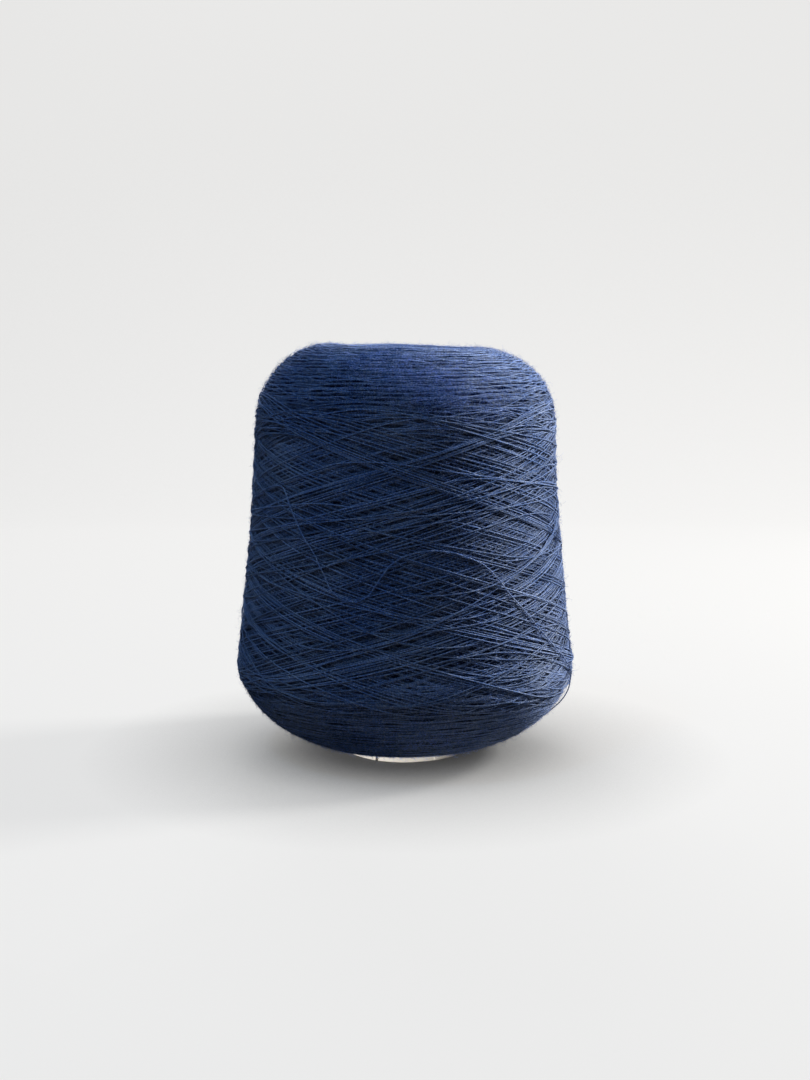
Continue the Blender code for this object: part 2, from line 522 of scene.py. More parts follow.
class Outline:
    """The winding's outline, read by its place: the length along it from the foot."""

    SAMPLES = 90
    SMOOTHING = 9
    SLUMP = 0.0021
    SLUMP_TURN = math.radians(-25)
    SLUMP_STATION = 2.35
    SLUMP_FADE = 0.025
    LOBE_FADE = 0.03

    def __init__(
        self,
        cone: ConeShape,
        foot_hollow: float = 1.2,
        belly_height: float = 0.045,
        shoulder_height: float = 0.166,
        shoulder_radius: float = 0.0739,
        flank_hollow: float = 1.5,
        crest_radius: float = 0.036,
        dish_depth: float = 0.014,
    ) -> None:
        """Works out the outline from the frame's box and the winding's own sizes.

        Args:
            cone: the cone that the winding sits on.
            foot_hollow: how much the underside is drawn in; 1 is round.
            belly_height: height of the widest place.
            shoulder_height: height where the flank ends.
            shoulder_radius: radius there.
            flank_hollow: how much the flank is drawn in; 1 is straight.
            crest_radius: radius of the highest ring.
            dish_depth: depth of the dish round the cone's nose.
        """
        low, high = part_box("wound_yarn")
        self.foot_height, self.crest_height, self.foot_hollow = low[2], high[2], foot_hollow
        self.belly_radius, self.belly_height = high[0], belly_height
        self.shoulder = (shoulder_radius, shoulder_height)
        self.hollow, self.crest_radius, self.dish_depth = flank_hollow, crest_radius, dish_depth
        self.cone = cone
        station = np.linspace(0, 3, 3 * self.SAMPLES + 1)
        radius, height = self.at_station(station)
        share = np.linspace(0, 1, self.SAMPLES // 2 + 1)[1:]
        floor = self.crest_height - dish_depth
        inner = cone.radius(floor) + cone.fit_gap
        radius = np.append(radius, crest_radius + (inner - crest_radius) * share)
        height = np.append(height, self.crest_height - dish_depth * share * share * (3 - 2 * share))
        station = np.append(station, 3 + share)
        place = np.append(0, np.cumsum(np.hypot(np.diff(radius), np.diff(height))))
        even = np.linspace(0, place[-1], 4 * self.SAMPLES + 1)
        self.place = even
        self.station = np.interp(even, place, station)
        self.radius = soften(np.interp(even, place, radius), self.SMOOTHING)
        self.height = soften(np.interp(even, place, height), self.SMOOTHING)
        along = np.stack([np.gradient(self.radius, even), np.gradient(self.height, even)])
        along /= np.hypot(*along)
        self.outward = np.stack([along[1], -along[0]])

    def at_station(self, station: np.ndarray) -> tuple[np.ndarray, np.ndarray]:
        """Works out the even outline.

        Args:
            station: stations: 0 is the foot, 1 the belly, 2 the shoulder and 3 the crest.

        Returns:
            The radius and the height at each station.
        """
        foot = self.cone.radius(self.foot_height) + self.cone.fit_gap
        angle = np.pi / 2 * np.clip(station, 0, 1)
        radius = foot + (self.belly_radius - foot) * np.sin(angle)
        drop = np.maximum(np.cos(angle), 0) ** self.foot_hollow
        height = self.belly_height - (self.belly_height - self.foot_height) * drop
        share = np.clip(station - 1, 0, 1)
        flank = station > 1
        reach = self.belly_radius - self.shoulder[0]
        radius = np.where(flank, self.shoulder[0] + reach * (1 - share) ** self.hollow, radius)
        rise = self.shoulder[1] - self.belly_height
        height = np.where(flank, self.belly_height + rise * share, height)
        angle = np.pi / 2 * np.clip(station - 2, 0, 1)
        top = station > 2
        reach = self.shoulder[0] - self.crest_radius
        radius = np.where(top, self.crest_radius + reach * np.cos(angle), radius)
        rise = self.crest_height - self.shoulder[1]
        return radius, np.where(top, self.shoulder[1] + rise * np.sin(angle), height)

    @property
    def length(self) -> float:
        """The outline's whole length."""
        return float(self.place[-1])

    def place_of(self, station: float) -> float:
        """Returns the place of a station."""
        return float(np.interp(station, self.station, self.place))

    def radius_at(self, place: np.ndarray) -> np.ndarray:
        """Returns the radius at places."""
        return np.interp(place, self.place, self.radius)

    def sway(self, turn: np.ndarray, place: np.ndarray) -> np.ndarray:
        """Works out how far the package bulges beyond its even outline.

        Args:
            turn: turns round the axis.
            place: places on the outline.

        Returns:
            The bulge at each point, less than 0 where it is slack.
        """
        top = np.clip((place - self.place_of(self.SLUMP_STATION)) / self.SLUMP_FADE, 0, 1)
        right = 0.5 + 0.5 * np.cos(turn - self.SLUMP_TURN)
        slump = -self.SLUMP * top * right**1.5 + 0.0003 * top * np.sin(4 * turn + 1)
        lobes = 0.00014 * np.sin(3 * turn + 40 * place) + 0.00010 * np.sin(5 * turn - 90 * place + 1)
        return slump + lobes * np.clip(place / self.LOBE_FADE, 0, 1)

    def point(self, turn: np.ndarray, place: np.ndarray, lift: np.ndarray | float) -> np.ndarray:
        """Places points over the package.

        Args:
            turn: their turns round the axis.
            place: their places on the outline.
            lift: how far they stand off it.

        Returns:
            The points.
        """
        out_r = np.interp(place, self.place, self.outward[0])
        out_z = np.interp(place, self.place, self.outward[1])
        rise = lift + self.sway(turn, place)
        radius = np.interp(place, self.place, self.radius) + out_r * rise
        height = np.interp(place, self.place, self.height) + out_z * rise
        return around(turn, radius, height)

    def outward_at(self, turn: np.ndarray, place: np.ndarray) -> np.ndarray:
        """Works out which way is outwards.

        Args:
            turn: turns round the axis.
            place: places on the outline.

        Returns:
            The outward direction at each point.
        """
        out_r = np.interp(place, self.place, self.outward[0])
        out_z = np.interp(place, self.place, self.outward[1])
        return around(turn, out_r, out_z)


# ---------------------------------------------------------------- meshes


def link(piece: bpy.types.Object, material: bpy.types.Material) -> bpy.types.Object:
    """Puts a piece in the scene, on the frame's body.

    Args:
        piece: the piece.
        material: its material.

    Returns:
        The piece.
    """
    bpy.context.collection.objects.link(piece)
    piece.data.materials.append(material)
    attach(piece, BODY)
    return piece


def mesh_of(name: str, points: np.ndarray, faces: np.ndarray, sizes: np.ndarray) -> bpy.types.Mesh:
    """Makes a smooth-shaded mesh.

    Args:
        name: the mesh's name.
        points: its vertices.
        faces: the vertex of each face corner, face after face.
        sizes: each face's number of corners.

    Returns:
        The mesh.
    """
    mesh = bpy.data.meshes.new(name)
    mesh.vertices.add(len(points))
    mesh.vertices.foreach_set("co", points.astype(np.float32).ravel())
    mesh.loops.add(len(faces))
    mesh.loops.foreach_set("vertex_index", faces.astype(np.int32))
    mesh.polygons.add(len(sizes))
    starts = np.append(0, np.cumsum(sizes)[:-1]).astype(np.int32)
    mesh.polygons.foreach_set("loop_start", starts)
    mesh.polygons.foreach_set("use_smooth", np.ones(len(sizes), bool))
    mesh.update(calc_edges=True)
    return mesh


def turned_mesh(name: str, rings: np.ndarray) -> bpy.types.Mesh:
    """Makes a closed ring of a mesh from its sections.

    Args:
        name: the mesh's name.
        rings: the points of each section, one section a turn, the outer side downwards.

    Returns:
        The mesh.
    """
    steps, count, _ = rings.shape
    i, j = np.meshgrid(np.arange(steps), np.arange(count), indexing="ij")
    right, below = (i + 1) % steps, (j + 1) % count
    quad = np.stack([i * count + j, i * count + below, right * count + below, right * count + j], -1)
    return mesh_of(name, rings.reshape(-1, 3), quad.ravel(), np.full(steps * count, 4))


def set_tone(mesh: bpy.types.Mesh, values: np.ndarray) -> None:
    """Keeps the tone of each point of a mesh."""
    tone = mesh.attributes.new("tone", "FLOAT", "POINT")
    tone.data.foreach_set("value", values.astype(np.float32))


def set_uv(mesh: bpy.types.Mesh, uv: np.ndarray) -> None:
    """Keeps where each face corner lies along its strand, in metres, and round it."""
    layer = mesh.uv_layers.new(name="strand")
    layer.uv.foreach_set("vector", uv.astype(np.float32).ravel())


@dataclass
class Bundle:
    """Many tubes of one section, gathered to become one piece.

    Attributes:
        sides: number of sides of a tube.
        width: full width across the strand, along the surface.
        thick: full thickness, away from the surface.
        centres: each tube's middle line.
        outwards: the direction away from the surface, along each tube.
        tones: the tone along each tube, with any painted light and shade in it.
        taper: whether the tubes get thinner towards their far ends.
        thinning: the share of its width that a tapering tube loses.
    """

    sides: int
    width: float
    thick: float
    centres: list[np.ndarray] = field(default_factory=list)
    outwards: list[np.ndarray] = field(default_factory=list)
    tones: list[np.ndarray] = field(default_factory=list)
    taper: bool = False
    thinning: float = 0.65

    def add(self, centres: np.ndarray, outwards: np.ndarray, tone: np.ndarray | float) -> None:
        """Adds a tube.

        Args:
            centres: its middle line.
            outwards: the direction away from the surface, along it.
            tone: its tone, one for all or along it.
        """
        self.centres.append(centres)
        self.outwards.append(outwards)
        self.tones.append(np.broadcast_to(tone, len(centres)))

    @property
    def triangles(self) -> int:
        """The number of triangles that the tubes make."""
        runs = sum(len(c) - 1 for c in self.centres)
        return runs * self.sides * 2 + len(self.centres) * (self.sides - 2) * 2

    def mesh(self, name: str) -> bpy.types.Mesh:
        """Makes one mesh of the tubes, with their length and girth as a UV map.

        Args:
            name: the mesh's name.

        Returns:
            The mesh, whose point attribute "tone" holds each tube's own tone, with any painted light
            and shade in it.
        """
        counts = np.array([len(c) for c in self.centres])
        centre = np.concatenate(self.centres)
        outward = np.concatenate(self.outwards)
        first = np.append(0, np.cumsum(counts)[:-1])
        last = first + counts - 1
        run = np.diff(centre, axis=0, append=centre[-1:])
        back = np.roll(run, 1, axis=0)
        run[last] = back[last]
        back[first] = run[first]
        tangent = run + back
        tangent /= np.linalg.norm(tangent, axis=1, keepdims=True) + 1e-12
        side = np.cross(tangent, outward)
        side /= np.linalg.norm(side, axis=1, keepdims=True) + 1e-12
        over = np.cross(side, tangent)
        size = np.ones(len(centre))
        if self.taper:
            share = (np.arange(len(centre)) - np.repeat(first, counts)) / np.repeat(counts - 1, counts)
            size = 1.0 - self.thinning * share
        angle = np.arange(self.sides) * math.tau / self.sides + math.pi / 2
        points = (
            centre[:, None]
            + over[:, None] * (np.sin(angle) * self.thick / 2)[None, :, None] * size[:, None, None]
            + side[:, None] * (np.cos(angle) * self.width / 2)[None, :, None] * size[:, None, None]
        )
        length = np.linalg.norm(run, axis=1)
        length[last] = 0
        reach = np.append(0, np.cumsum(length)[:-1])
        reach -= np.repeat(reach[first], counts)
        starts = np.setdiff1d(np.arange(len(centre)), last)
        k = np.arange(self.sides)
        after = (k + 1) % self.sides
        quad = np.stack(
            [
                starts[:, None] * self.sides + k,
                starts[:, None] * self.sides + after,
                (starts[:, None] + 1) * self.sides + after,
                (starts[:, None] + 1) * self.sides + k,
            ],
            -1,
        ).reshape(-1, 4)
        cap_first = first[:, None] * self.sides + k[::-1]
        cap_last = last[:, None] * self.sides + k
        faces = np.concatenate([quad.ravel(), cap_first.ravel(), cap_last.ravel()])
        sizes = np.concatenate([np.full(len(quad), 4), np.full(2 * len(counts), self.sides)])
        mesh = mesh_of(name, points.reshape(-1, 3), faces, sizes)
        girth = np.stack([k, k + 1, k + 1, k], -1) / self.sides
        girth = np.broadcast_to(girth, (len(starts), self.sides, 4))
        u = np.stack([reach[starts], reach[starts], reach[starts + 1], reach[starts + 1]], -1)
        u = np.broadcast_to(u[:, None, :], girth.shape)
        uv = np.zeros((len(faces), 2))
        uv[: quad.size] = np.stack([u, girth], -1).reshape(-1, 2)
        caps = np.concatenate([np.repeat(reach[first], self.sides), np.repeat(reach[last], self.sides)])
        uv[quad.size :, 0] = caps
        set_uv(mesh, uv)
        set_tone(mesh, np.repeat(np.concatenate(self.tones), self.sides))
        return mesh


# ---------------------------------------------------------------- the winding


class Relief:
    """How high the laid strands stand, on a grid of rows along the outline and columns round it."""

    evenness = 0.0045
    depth = 0.0003
    batch = 120
    slope = 0.3

    def __init__(self, outline: Outline, cell: float, bend: float) -> None:
        """Starts with nothing laid.

        Args:
            outline: the winding's outline.
            cell: the grid's step along the outline, and round the belly.
            bend: the radius at which a taut strand bends over what it rests on.
        """
        self.cell = cell
        self.rows = int(outline.length / cell) + 2
        self.columns = int(math.tau * outline.belly_radius / cell)
        self.height = np.zeros((self.rows, self.columns))
        self.level = np.zeros((self.rows, self.columns))
        self.owner = np.full((self.rows, self.columns), -1)
        self.bend = bend
        self.outline = outline
        self.laid = 0

    def cells(self, column: np.ndarray, place: np.ndarray) -> tuple[np.ndarray, np.ndarray]:
        """Finds a strand's cells in the grid.

        Args:
            column: the columns that it passes.
            place: its place in each.

        Returns:
            The cells' rows and columns.
        """
        row = np.clip(np.rint(place / self.cell).astype(int), 1, self.rows - 2)
        return row, column % self.columns

    def lay(
        self, column: np.ndarray, place: np.ndarray, thick: float, ends: float, firm: float
    ) -> np.ndarray:
        """Lays a taut strand over what is there.

        Args:
            column: the columns that the strand passes, one after another.
            place: its place in each.
            thick: its thickness as it lies pressed.
            ends: the length over which each of its ends dips under the others.
            firm: the share of what lies under it that it isn't pressed into.

        Returns:
            The height of the strand's middle at each point.
        """
        row, column = self.cells(column, place)
        base = self.level[row, column]
        under = self.height[row, column]
        beside = np.maximum(self.height[row - 1, column], self.height[row + 1, column])
        under = np.maximum(under, beside - thick / 3) - base
        step = float(np.mean(self.outline.radius_at(place))) * math.tau / self.columns
        reach = max(int(math.sqrt(2 * self.bend * thick) * 1.4 / step), 1)
        padded = np.pad(under, reach, mode="edge")
        rest = under.copy()
        for shift in range(-reach, reach + 1):
            dip = (shift * step) ** 2 / (2 * self.bend)
            np.maximum(rest, padded[reach + shift : reach + shift + len(under)] - dip, out=rest)
        run = np.minimum(np.arange(len(rest)), np.arange(len(rest))[::-1]) * step
        dive = np.clip(1 - run / ends, 0, 1) ** 2 * 4 * self.depth
        top = rest * firm + base + thick - dive
        for side, drop in ((0, 0.0), (-1, self.slope), (1, self.slope)):
            cells = (row + side, column)
            edge = top - drop * thick
            higher = (edge > self.height[cells]) & (dive < thick)
            self.height[cells] = np.where(higher, edge, self.height[cells])
            self.owner[row[higher] + side, column[higher]] = self.laid
        self.laid += 1
        if self.laid % self.batch == 0:
            self.settle()
        return top - thick / 2

    def stands(self, turn: np.ndarray, place: np.ndarray) -> np.ndarray:
        """Reads how far the highest strand stands over the outline.

        Args:
            turn: turns round the axis.
            place: places on the outline.

        Returns:
            The height at each point.
        """
        row, column = self.cells(np.rint(turn / math.tau * self.columns).astype(int), place)
        return (self.height - self.level)[row, column]

    def shows(self, index: int, column: np.ndarray, place: np.ndarray) -> np.ndarray:
        """Finds where a strand lies on top of all the others, in any part of its width.

        Args:
            index: the strand's number.
            column: the columns that it passes.
            place: its place in each.

        Returns:
            Whether it shows, point by point.
        """
        row, column = self.cells(column, place)
        return np.any([self.owner[row + side, column] == index for side in (-1, 0, 1)], axis=0)

    def settle(self) -> None:
        """Works out the level that the next strands are pressed to, from the cells that hold any."""
        laid = (self.owner >= 0).astype(float)
        self.level = self.spread(self.height * laid) / np.maximum(self.spread(laid), 0.05)

    def spread(self, values: np.ndarray) -> np.ndarray:
        """Averages values over the square that a level is taken from.

        Args:
            values: one value a cell.

        Returns:
            The averages.
        """
        n = max(int(self.evenness / self.cell), 1)
        wide = np.pad(values, ((n + 1, n), (0, 0)))
        total = np.cumsum(wide, axis=0)
        wide = (total[2 * n + 1 :] - total[: -2 * n - 1]) / (2 * n + 1)
        wide = np.pad(wide, ((0, 0), (n + 1, n)), mode="wrap")
        total = np.cumsum(wide, axis=1)
        return (total[:, 2 * n + 1 :] - total[:, : -2 * n - 1]) / (2 * n + 1)


@dataclass
class Strand:
    """One laid strand: the columns that it passes, its places there and how high it stands."""

    index: int
    column: np.ndarray
    place: np.ndarray
    middle: np.ndarray
    tone: float
    rise: float


class Layer(Enum):
    """The parts of the winding, in the order in which they are laid."""

    FOOT = "foot_wraps"
    CREST = "crest_wraps"
    FLANK = "flank_wraps"
    COVER = "cover_wraps"


@dataclass
class Winding:
    """The wound yarn: a core that closes the gaps, toned dark as painted shade, and the strands laid
    over it, painted darker the deeper they lie.
    """

    outline: Outline
    seed: int = 7
    width: float = 0.00064
    thick: float = 0.00056
    pressed: float = 0.00032
    proud: float = 0.00050
    under_firm: float = 0.5
    cover_firm: float = 0.8
    cell: float = 0.00025
    bend: float = 0.008
    lean: float = math.radians(17)
    core_inset: float = 0.0018
    core_steps: int = 256
    core_bore: float = 0.0002
    # Painted shade: the core's tone, which darkens it where it shows in the gaps between the strands.
    core_painted_shade: float = 0.5
    # Painted light and shade by depth: a strand's tone is scaled from its lift over the level, darker
    # the deeper it lies and a little lighter where it stands proud.
    painted_light_from: float = -0.00035
    painted_light_over: float = 0.0011
    painted_light_range: tuple[float, float] = (0.42, 1.1)
    tone_wander: float = 0.18
    tone_range: tuple[float, float] = (0.6, 1.6)
    sides: int = 5
    margin: float = 0.0005
    bundle_spacing: float = 0.0023
    crest_pull: float = 0.00060
    foot_pull: float = 0.00022
    arc_count: int = 3200
    arc_steps: int = 240
    arc_reach: tuple[float, float] = (0.035, 0.055)
    arc_curve: tuple[float, float] = (0.6, 4.0)
    arc_wander: float = 0.0003
    stroke_steps: int = 600
    stroke_curve: tuple[float, float] = (7.5, 12.5)
    stroke_overrun: tuple[float, float] = (0.012, 0.03)
    stroke_wander: float = 0.0002
    low_end: tuple[float, float] = (-0.003, 0.005)
    high_end: tuple[float, float] = (0.002, 0.006)
    flank_count: int = 576
    flank_wander: tuple[float, float] = (0.05, 0.008)
    flank_lean: tuple[float, float] = (math.radians(15.5), math.radians(17))
    flank_lean_wander: tuple[float, float] = (math.radians(1.5), math.radians(0.35))
    ribbon_count: int = 44
    ribbon_strands: tuple[int, ...] = (1, 1, 2, 2, 3, 4)
    ribbon_pitch: tuple[float, float] = (0.0010, 0.0022)
    ribbon_lean_wander: float = 1.8
    ribbon_end_wander: float = 0.0016
    stray_count: int = 30
    stray_leans: tuple[int, ...] = (5, 8, 12, 21, 25)
    stray_half_length: float = 0.05
    mesh_step: float = 0.0020
    hidden_ends: float = 0.0022
    dive: float = 0.009
    rise: float = 0.0003
    flank_rise: tuple[float, float] = (-0.0003, 0.0)
    most_triangles: int = 185_000
    strands: dict[Layer, list[Strand]] = field(default_factory=dict)

    def __post_init__(self) -> None:
        """Sets up the random draws and the relief."""
        self.random = np.random.default_rng(self.seed)
        self.relief = Relief(self.outline, self.cell, self.bend)
        for layer in Layer:
            self.strands[layer] = []

    @property
    def middle(self) -> float:
        """The place halfway up the flank."""
        return (self.outline.place_of(1.0) + self.outline.place_of(2.0)) / 2

    def lay(
        self,
        layer: Layer,
        turn: float,
        middle: int,
        place: np.ndarray,
        across: np.ndarray,
        rise: float = 0.0,
    ) -> None:
        """Lays one strand and keeps it, its two ends dipping under the others.

        Args:
            layer: the part that it belongs to.
            turn: its turn at the point numbered middle.
            middle: the number of that point.
            place: its places.
            across: how far round the winding each point lies, in metres.
            rise: how much further out it lies than pressed strands would.
        """
        radius = self.outline.radius_at(place)
        turns = np.append(0, np.cumsum(np.diff(across) / (radius[1:] + radius[:-1]) * 2))
        exact = (turn + turns - turns[middle]) / math.tau * self.relief.columns
        column = np.arange(math.ceil(exact[0]), math.floor(exact[-1]))
        place = np.interp(column, exact, place)
        index = self.relief.laid
        cover = layer is Layer.COVER
        pressed, firm = (self.proud, self.cover_firm) if cover else (self.pressed, self.under_firm)
        height = self.relief.lay(column, place, pressed, self.dive, firm)
        tone = float(np.clip(self.random.normal(1.0, self.tone_wander), *self.tone_range))
        self.strands[layer].append(Strand(index, column, place, height, tone, rise))

    def arc(
        self, layer: Layer, turn: float, place: float, inward: int, curve: float, reach: float
    ) -> None:
        """Lays an arc round one end of the package.

        Args:
            layer: the part that it belongs to.
            turn: where its furthest point lies.
            place: the furthest point's place.
            inward: 1 if the flank lies at greater places, or else -1.
            curve: how sharply it turns back.
            reach: its length each side of the furthest point.
        """
        across = np.linspace(-reach, reach, self.arc_steps + 1)
        wave = np.sin(across * self.random.uniform(40, 120) + self.random.uniform(0, 6))
        wander = self.arc_wander * wave
        run = place + inward * curve * across**2 / 2 + wander
        pull = self.crest_pull if layer is Layer.CREST else self.foot_pull
        run = self.gathered(run, turn + across / self.outline.radius_at(run), pull)
        run = np.clip(run, self.margin, self.outline.length - self.margin)
        self.lay(layer, turn, self.arc_steps // 2, run, across)

    def gathered(self, place: np.ndarray, turn: np.ndarray, pull: float) -> np.ndarray:
        """Pulls places towards the nearest bundle, so that gaps open between bundles.

        Args:
            place: the places.
            turn: their turns round the axis.
            pull: how far they are pulled at most.

        Returns:
            The new places.
        """
        drift = 2.0 * np.sin(2 * turn + 0.4) + 1.4 * np.sin(5 * turn + 2.1) + 0.6 * np.sin(11 * turn)
        drift += 1.5 * np.sin(place / 0.011)
        return place + pull * np.sin(math.tau * place / self.bundle_spacing + drift)

    def stroke(
        self, layer: Layer, turn: float, low: float, high: float, rising: bool, lean: float, rise: float
    ) -> None:
        """Lays one stroke across the flank, with its turning arcs at both ends.

        Args:
            layer: the part that it belongs to.
            turn: where it passes the middle of the flank, or comes nearest to it.
            low: place of its lower turning point.
            high: place of its upper turning point.
            rising: whether it climbs as it goes round.
            lean: its angle to the horizontal.
            rise: how much further out it lies than pressed strands would.
        """
        slope = math.tan(lean)
        curve = self.random.uniform(*self.stroke_curve)
        bend = slope / curve
        drop = slope * slope / (2 * curve)
        whole = 2 * bend + max((high - low - 2 * drop) / slope, 0)
        over = self.random.uniform(*self.stroke_overrun)
        across = np.linspace(-over, whole + over, self.stroke_steps + 1)
        climb = np.where(
            across < bend,
            curve * across**2 / 2,
            np.where(
                across > whole - bend,
                high - low - curve * (whole - across) ** 2 / 2,
                drop + (across - bend) * slope,
            ),
        )
        wave = np.sin(across * self.random.uniform(25, 70) + self.random.uniform(0, 6))
        place = (low + climb if rising else high - climb) + self.stroke_wander * wave
        self.lay(layer, turn, int(np.argmin(np.abs(place - self.middle))), place, across, rise)

    def wind(self) -> None:
        """Lays the whole winding, from the ends of the package to its cover."""
        self.lay_arcs()
        self.lay_flank()
        self.lay_cover()
        self.relief.settle()

    def lay_arcs(self) -> None:
        """Lays the near-level arcs that form the foot, the crest and the dish."""
        draw = self.random
        spans = {
            Layer.FOOT: (0.0008, self.outline.place_of(1.0) + 0.006, 1),
            Layer.CREST: (self.outline.length - 0.0008, self.outline.place_of(2.0) - 0.008, -1),
        }
        shares = {}
        for layer, (end, flank, _) in spans.items():
            run = np.linspace(end, flank, 200)
            band = self.outline.radius_at(run) * abs(run[1] - run[0])
            shares[layer] = np.append(0, np.cumsum(band)[:-1]), run
        total = sum(share[-1] for share, _ in shares.values())
        for layer, (_, _, inward) in spans.items():
            share, run = shares[layer]
            count = int(self.arc_count * share[-1] / total)
            order = (np.arange(count) + draw.uniform(-5, 5, count)) / count
            places = np.interp(np.clip(order, 0, 1) * share[-1], share, run)
            turns = np.arange(count) * math.tau * GOLDEN_SHARE + draw.normal(0, 0.06, count)
            for turn, place in zip(turns, places):
                reach = min(draw.uniform(*self.arc_reach), 2.4 * float(self.outline.radius_at(place)))
                self.arc(layer, turn, place, inward, draw.uniform(*self.arc_curve), reach)

    def ends(self) -> tuple[float, float]:
        """Draws a stroke's two turning places.

        Returns:
            The lower place and the upper one.
        """
        low = self.outline.place_of(1.0) + self.random.normal(*self.low_end)
        high = self.outline.place_of(2.0) + self.random.normal(*self.high_end)
        return low, high

    def lay_flank(self) -> None:
        """Lays the strokes that cover the flank under its last ones."""
        for index in range(self.flank_count):
            late = index * 2 // self.flank_count
            wander = self.random.normal(0, self.flank_wander[late])
            turn = (index // 2) * math.tau * GOLDEN_SHARE + wander
            lean = self.random.normal(self.flank_lean[late], self.flank_lean_wander[late])
            rising = bool(index % 2)
            self.stroke(Layer.FLANK, turn, *self.ends(), rising, lean, self.flank_rise[late])

    def lay_cover(self) -> None:
        """Lays the last strokes, which run side by side in ribbons, and a few strays over them."""
        draw = self.random
        for index in range(self.ribbon_count):
            rising = bool(index % 2)
            turn = index * math.tau * GOLDEN_SHARE + draw.normal(0, 0.1)
            lean = self.lean + math.radians(draw.normal(0, self.ribbon_lean_wander))
            low, high = self.ends()
            for _ in range(draw.choice(self.ribbon_strands)):
                pitch = draw.uniform(*self.ribbon_pitch)
                turn += pitch / math.sin(lean) / self.outline.belly_radius
                shift = draw.normal(0, self.ribbon_end_wander, 2)
                self.stroke(Layer.COVER, turn, low + shift[0], high + shift[1], rising, lean, self.rise)
        for index in range(self.stray_count):
            rising = bool(index % 2)
            turn = index * math.tau * GOLDEN_SHARE + draw.normal(0, 0.3)
            lean = math.radians(draw.choice(self.stray_leans) + draw.normal(0, 1))
            span = (self.outline.place_of(0.9), self.outline.place_of(2.1))
            low, high = np.sort(draw.uniform(*span, 2))
            middle = (low + high) / 2
            reach = max((high - low) / 2, math.tan(lean) * self.stray_half_length)
            self.stroke(Layer.COVER, turn, middle - reach, middle + reach, rising, lean, self.rise)

    def pieces(self) -> list[tuple[str, Bundle]]:
        """Gathers the strands in bundles, leaving out what lies buried and painting each point darker
        the deeper it lies.

        Returns:
            Each bundle with its piece's name.
        """
        level = self.relief.level
        found = []
        for layer in Layer:
            bundle, number = Bundle(self.sides, self.width, self.thick), 1
            for strand in self.strands[layer]:
                row, column = self.relief.cells(strand.column, strand.place)
                lift = strand.middle - level[row, column] - self.thick / 2 + strand.rise
                turn = strand.column * math.tau / self.relief.columns
                # Painted light and shade: deeper points are painted darker, proud points a little
                # lighter.
                painted_light = np.clip(1 + (lift - self.painted_light_from) / self.painted_light_over, *self.painted_light_range)
                for run in self.runs(strand):
                    bundle.add(
                        self.outline.point(turn[run], strand.place[run], lift[run]),
                        self.outline.outward_at(turn[run], strand.place[run]),
                        strand.tone * painted_light[run],
                    )
                if bundle.triangles > self.most_triangles:
                    found.append((f"{layer.value}_{number}", bundle))
                    bundle, number = Bundle(self.sides, self.width, self.thick), number + 1
            if bundle.centres:
                found.append((f"{layer.value}_{number}", bundle))
        return found

    def runs(self, strand: Strand) -> list[np.ndarray]:
        """Finds the stretches of a strand that show.

        Args:
            strand: the strand.

        Returns:
            The numbers of the points of each stretch, thinned for the mesh.
        """
        step = float(np.mean(self.outline.radius_at(strand.place))) * math.tau / self.relief.columns
        shows = self.relief.shows(strand.index, strand.column, strand.place)
        reach = int(self.hidden_ends / step)
        wide = np.convolve(shows, np.ones(2 * reach + 1), mode="same") > 0.5
        edges = np.flatnonzero(np.diff(np.concatenate([[0], wide.astype(int), [0]])))
        every = max(int(self.mesh_step / step), 1)
        return [
            np.unique(np.append(np.arange(start, end, every), end - 1))
            for start, end in zip(edges[::2], edges[1::2])
            if end - start > every
        ]

    def core(self) -> bpy.types.Mesh:
        """Makes the core: a ring a little inside the winding's outline, down to its bore, its tone
        lowered as painted shade.

        Returns:
            Its mesh.
        """
        o = self.outline
        turn = np.arange(self.core_steps) * math.tau / self.core_steps
        place = np.linspace(o.length, 0, 150)
        rings = o.point(turn[:, None], place[None], -self.core_inset)
        bore = o.cone.radius(rings[..., 2]) + o.cone.fit_gap
        outer = np.maximum(np.hypot(rings[..., 0], rings[..., 1]), bore + self.core_bore)
        rings = around(turn[:, None], outer, rings[..., 2])
        inner = around(turn[:, None], bore[:, [-1, 0]], rings[:, [-1, 0], 2])
        mesh = turned_mesh("winding_core", np.concatenate([rings, inner], axis=1))
        # Painted shade: the core is toned darker where it shows in the gaps.
        set_tone(mesh, np.full(len(mesh.vertices), self.core_painted_shade))
        return mesh


def build_winding(
    winding: Winding, strands: bpy.types.Material, under: bpy.types.Material
) -> None:
    """Makes the winding's pieces.

    Args:
        winding: the wound yarn.
        strands: the strands' material.
        under: the core's material, a darker copy of the wool that paints shade in the gaps.
    """
    core = bpy.data.objects.new("winding_core", winding.core())
    link(core, under)
    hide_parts("wound_yarn")
    log.info("winding_core: %d faces", len(core.data.polygons))
    for name, bundle in winding.pieces():
        piece = bpy.data.objects.new(name, bundle.mesh(name))
        link(piece, strands)
        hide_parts("wound_yarn")
        log.info("%s: %d triangles", name, bundle.triangles)


# ---------------------------------------------------------------- loose ends


def smooth_route(knots: np.ndarray, samples: int = 24) -> np.ndarray:
    """Draws a smooth curve through knots.

    Args:
        knots: the points that it passes.
        samples: the number of points on each span.

    Returns:
        The curve's points.
    """
    knots = np.vstack([2 * knots[0] - knots[1], knots, 2 * knots[-1] - knots[-2]])
    t = (np.arange(samples) / samples)[None, :, None]
    first, second, third, fourth = (knots[i : len(knots) - 3 + i][:, None] for i in range(4))
    curve = 0.5 * (
        2 * second
        + (third - first) * t
        + (2 * first - 5 * second + 4 * third - fourth) * t**2
        + (3 * second - first - 3 * third + fourth) * t**3
    )
    return np.vstack([curve.reshape(-1, 3), knots[-2]])


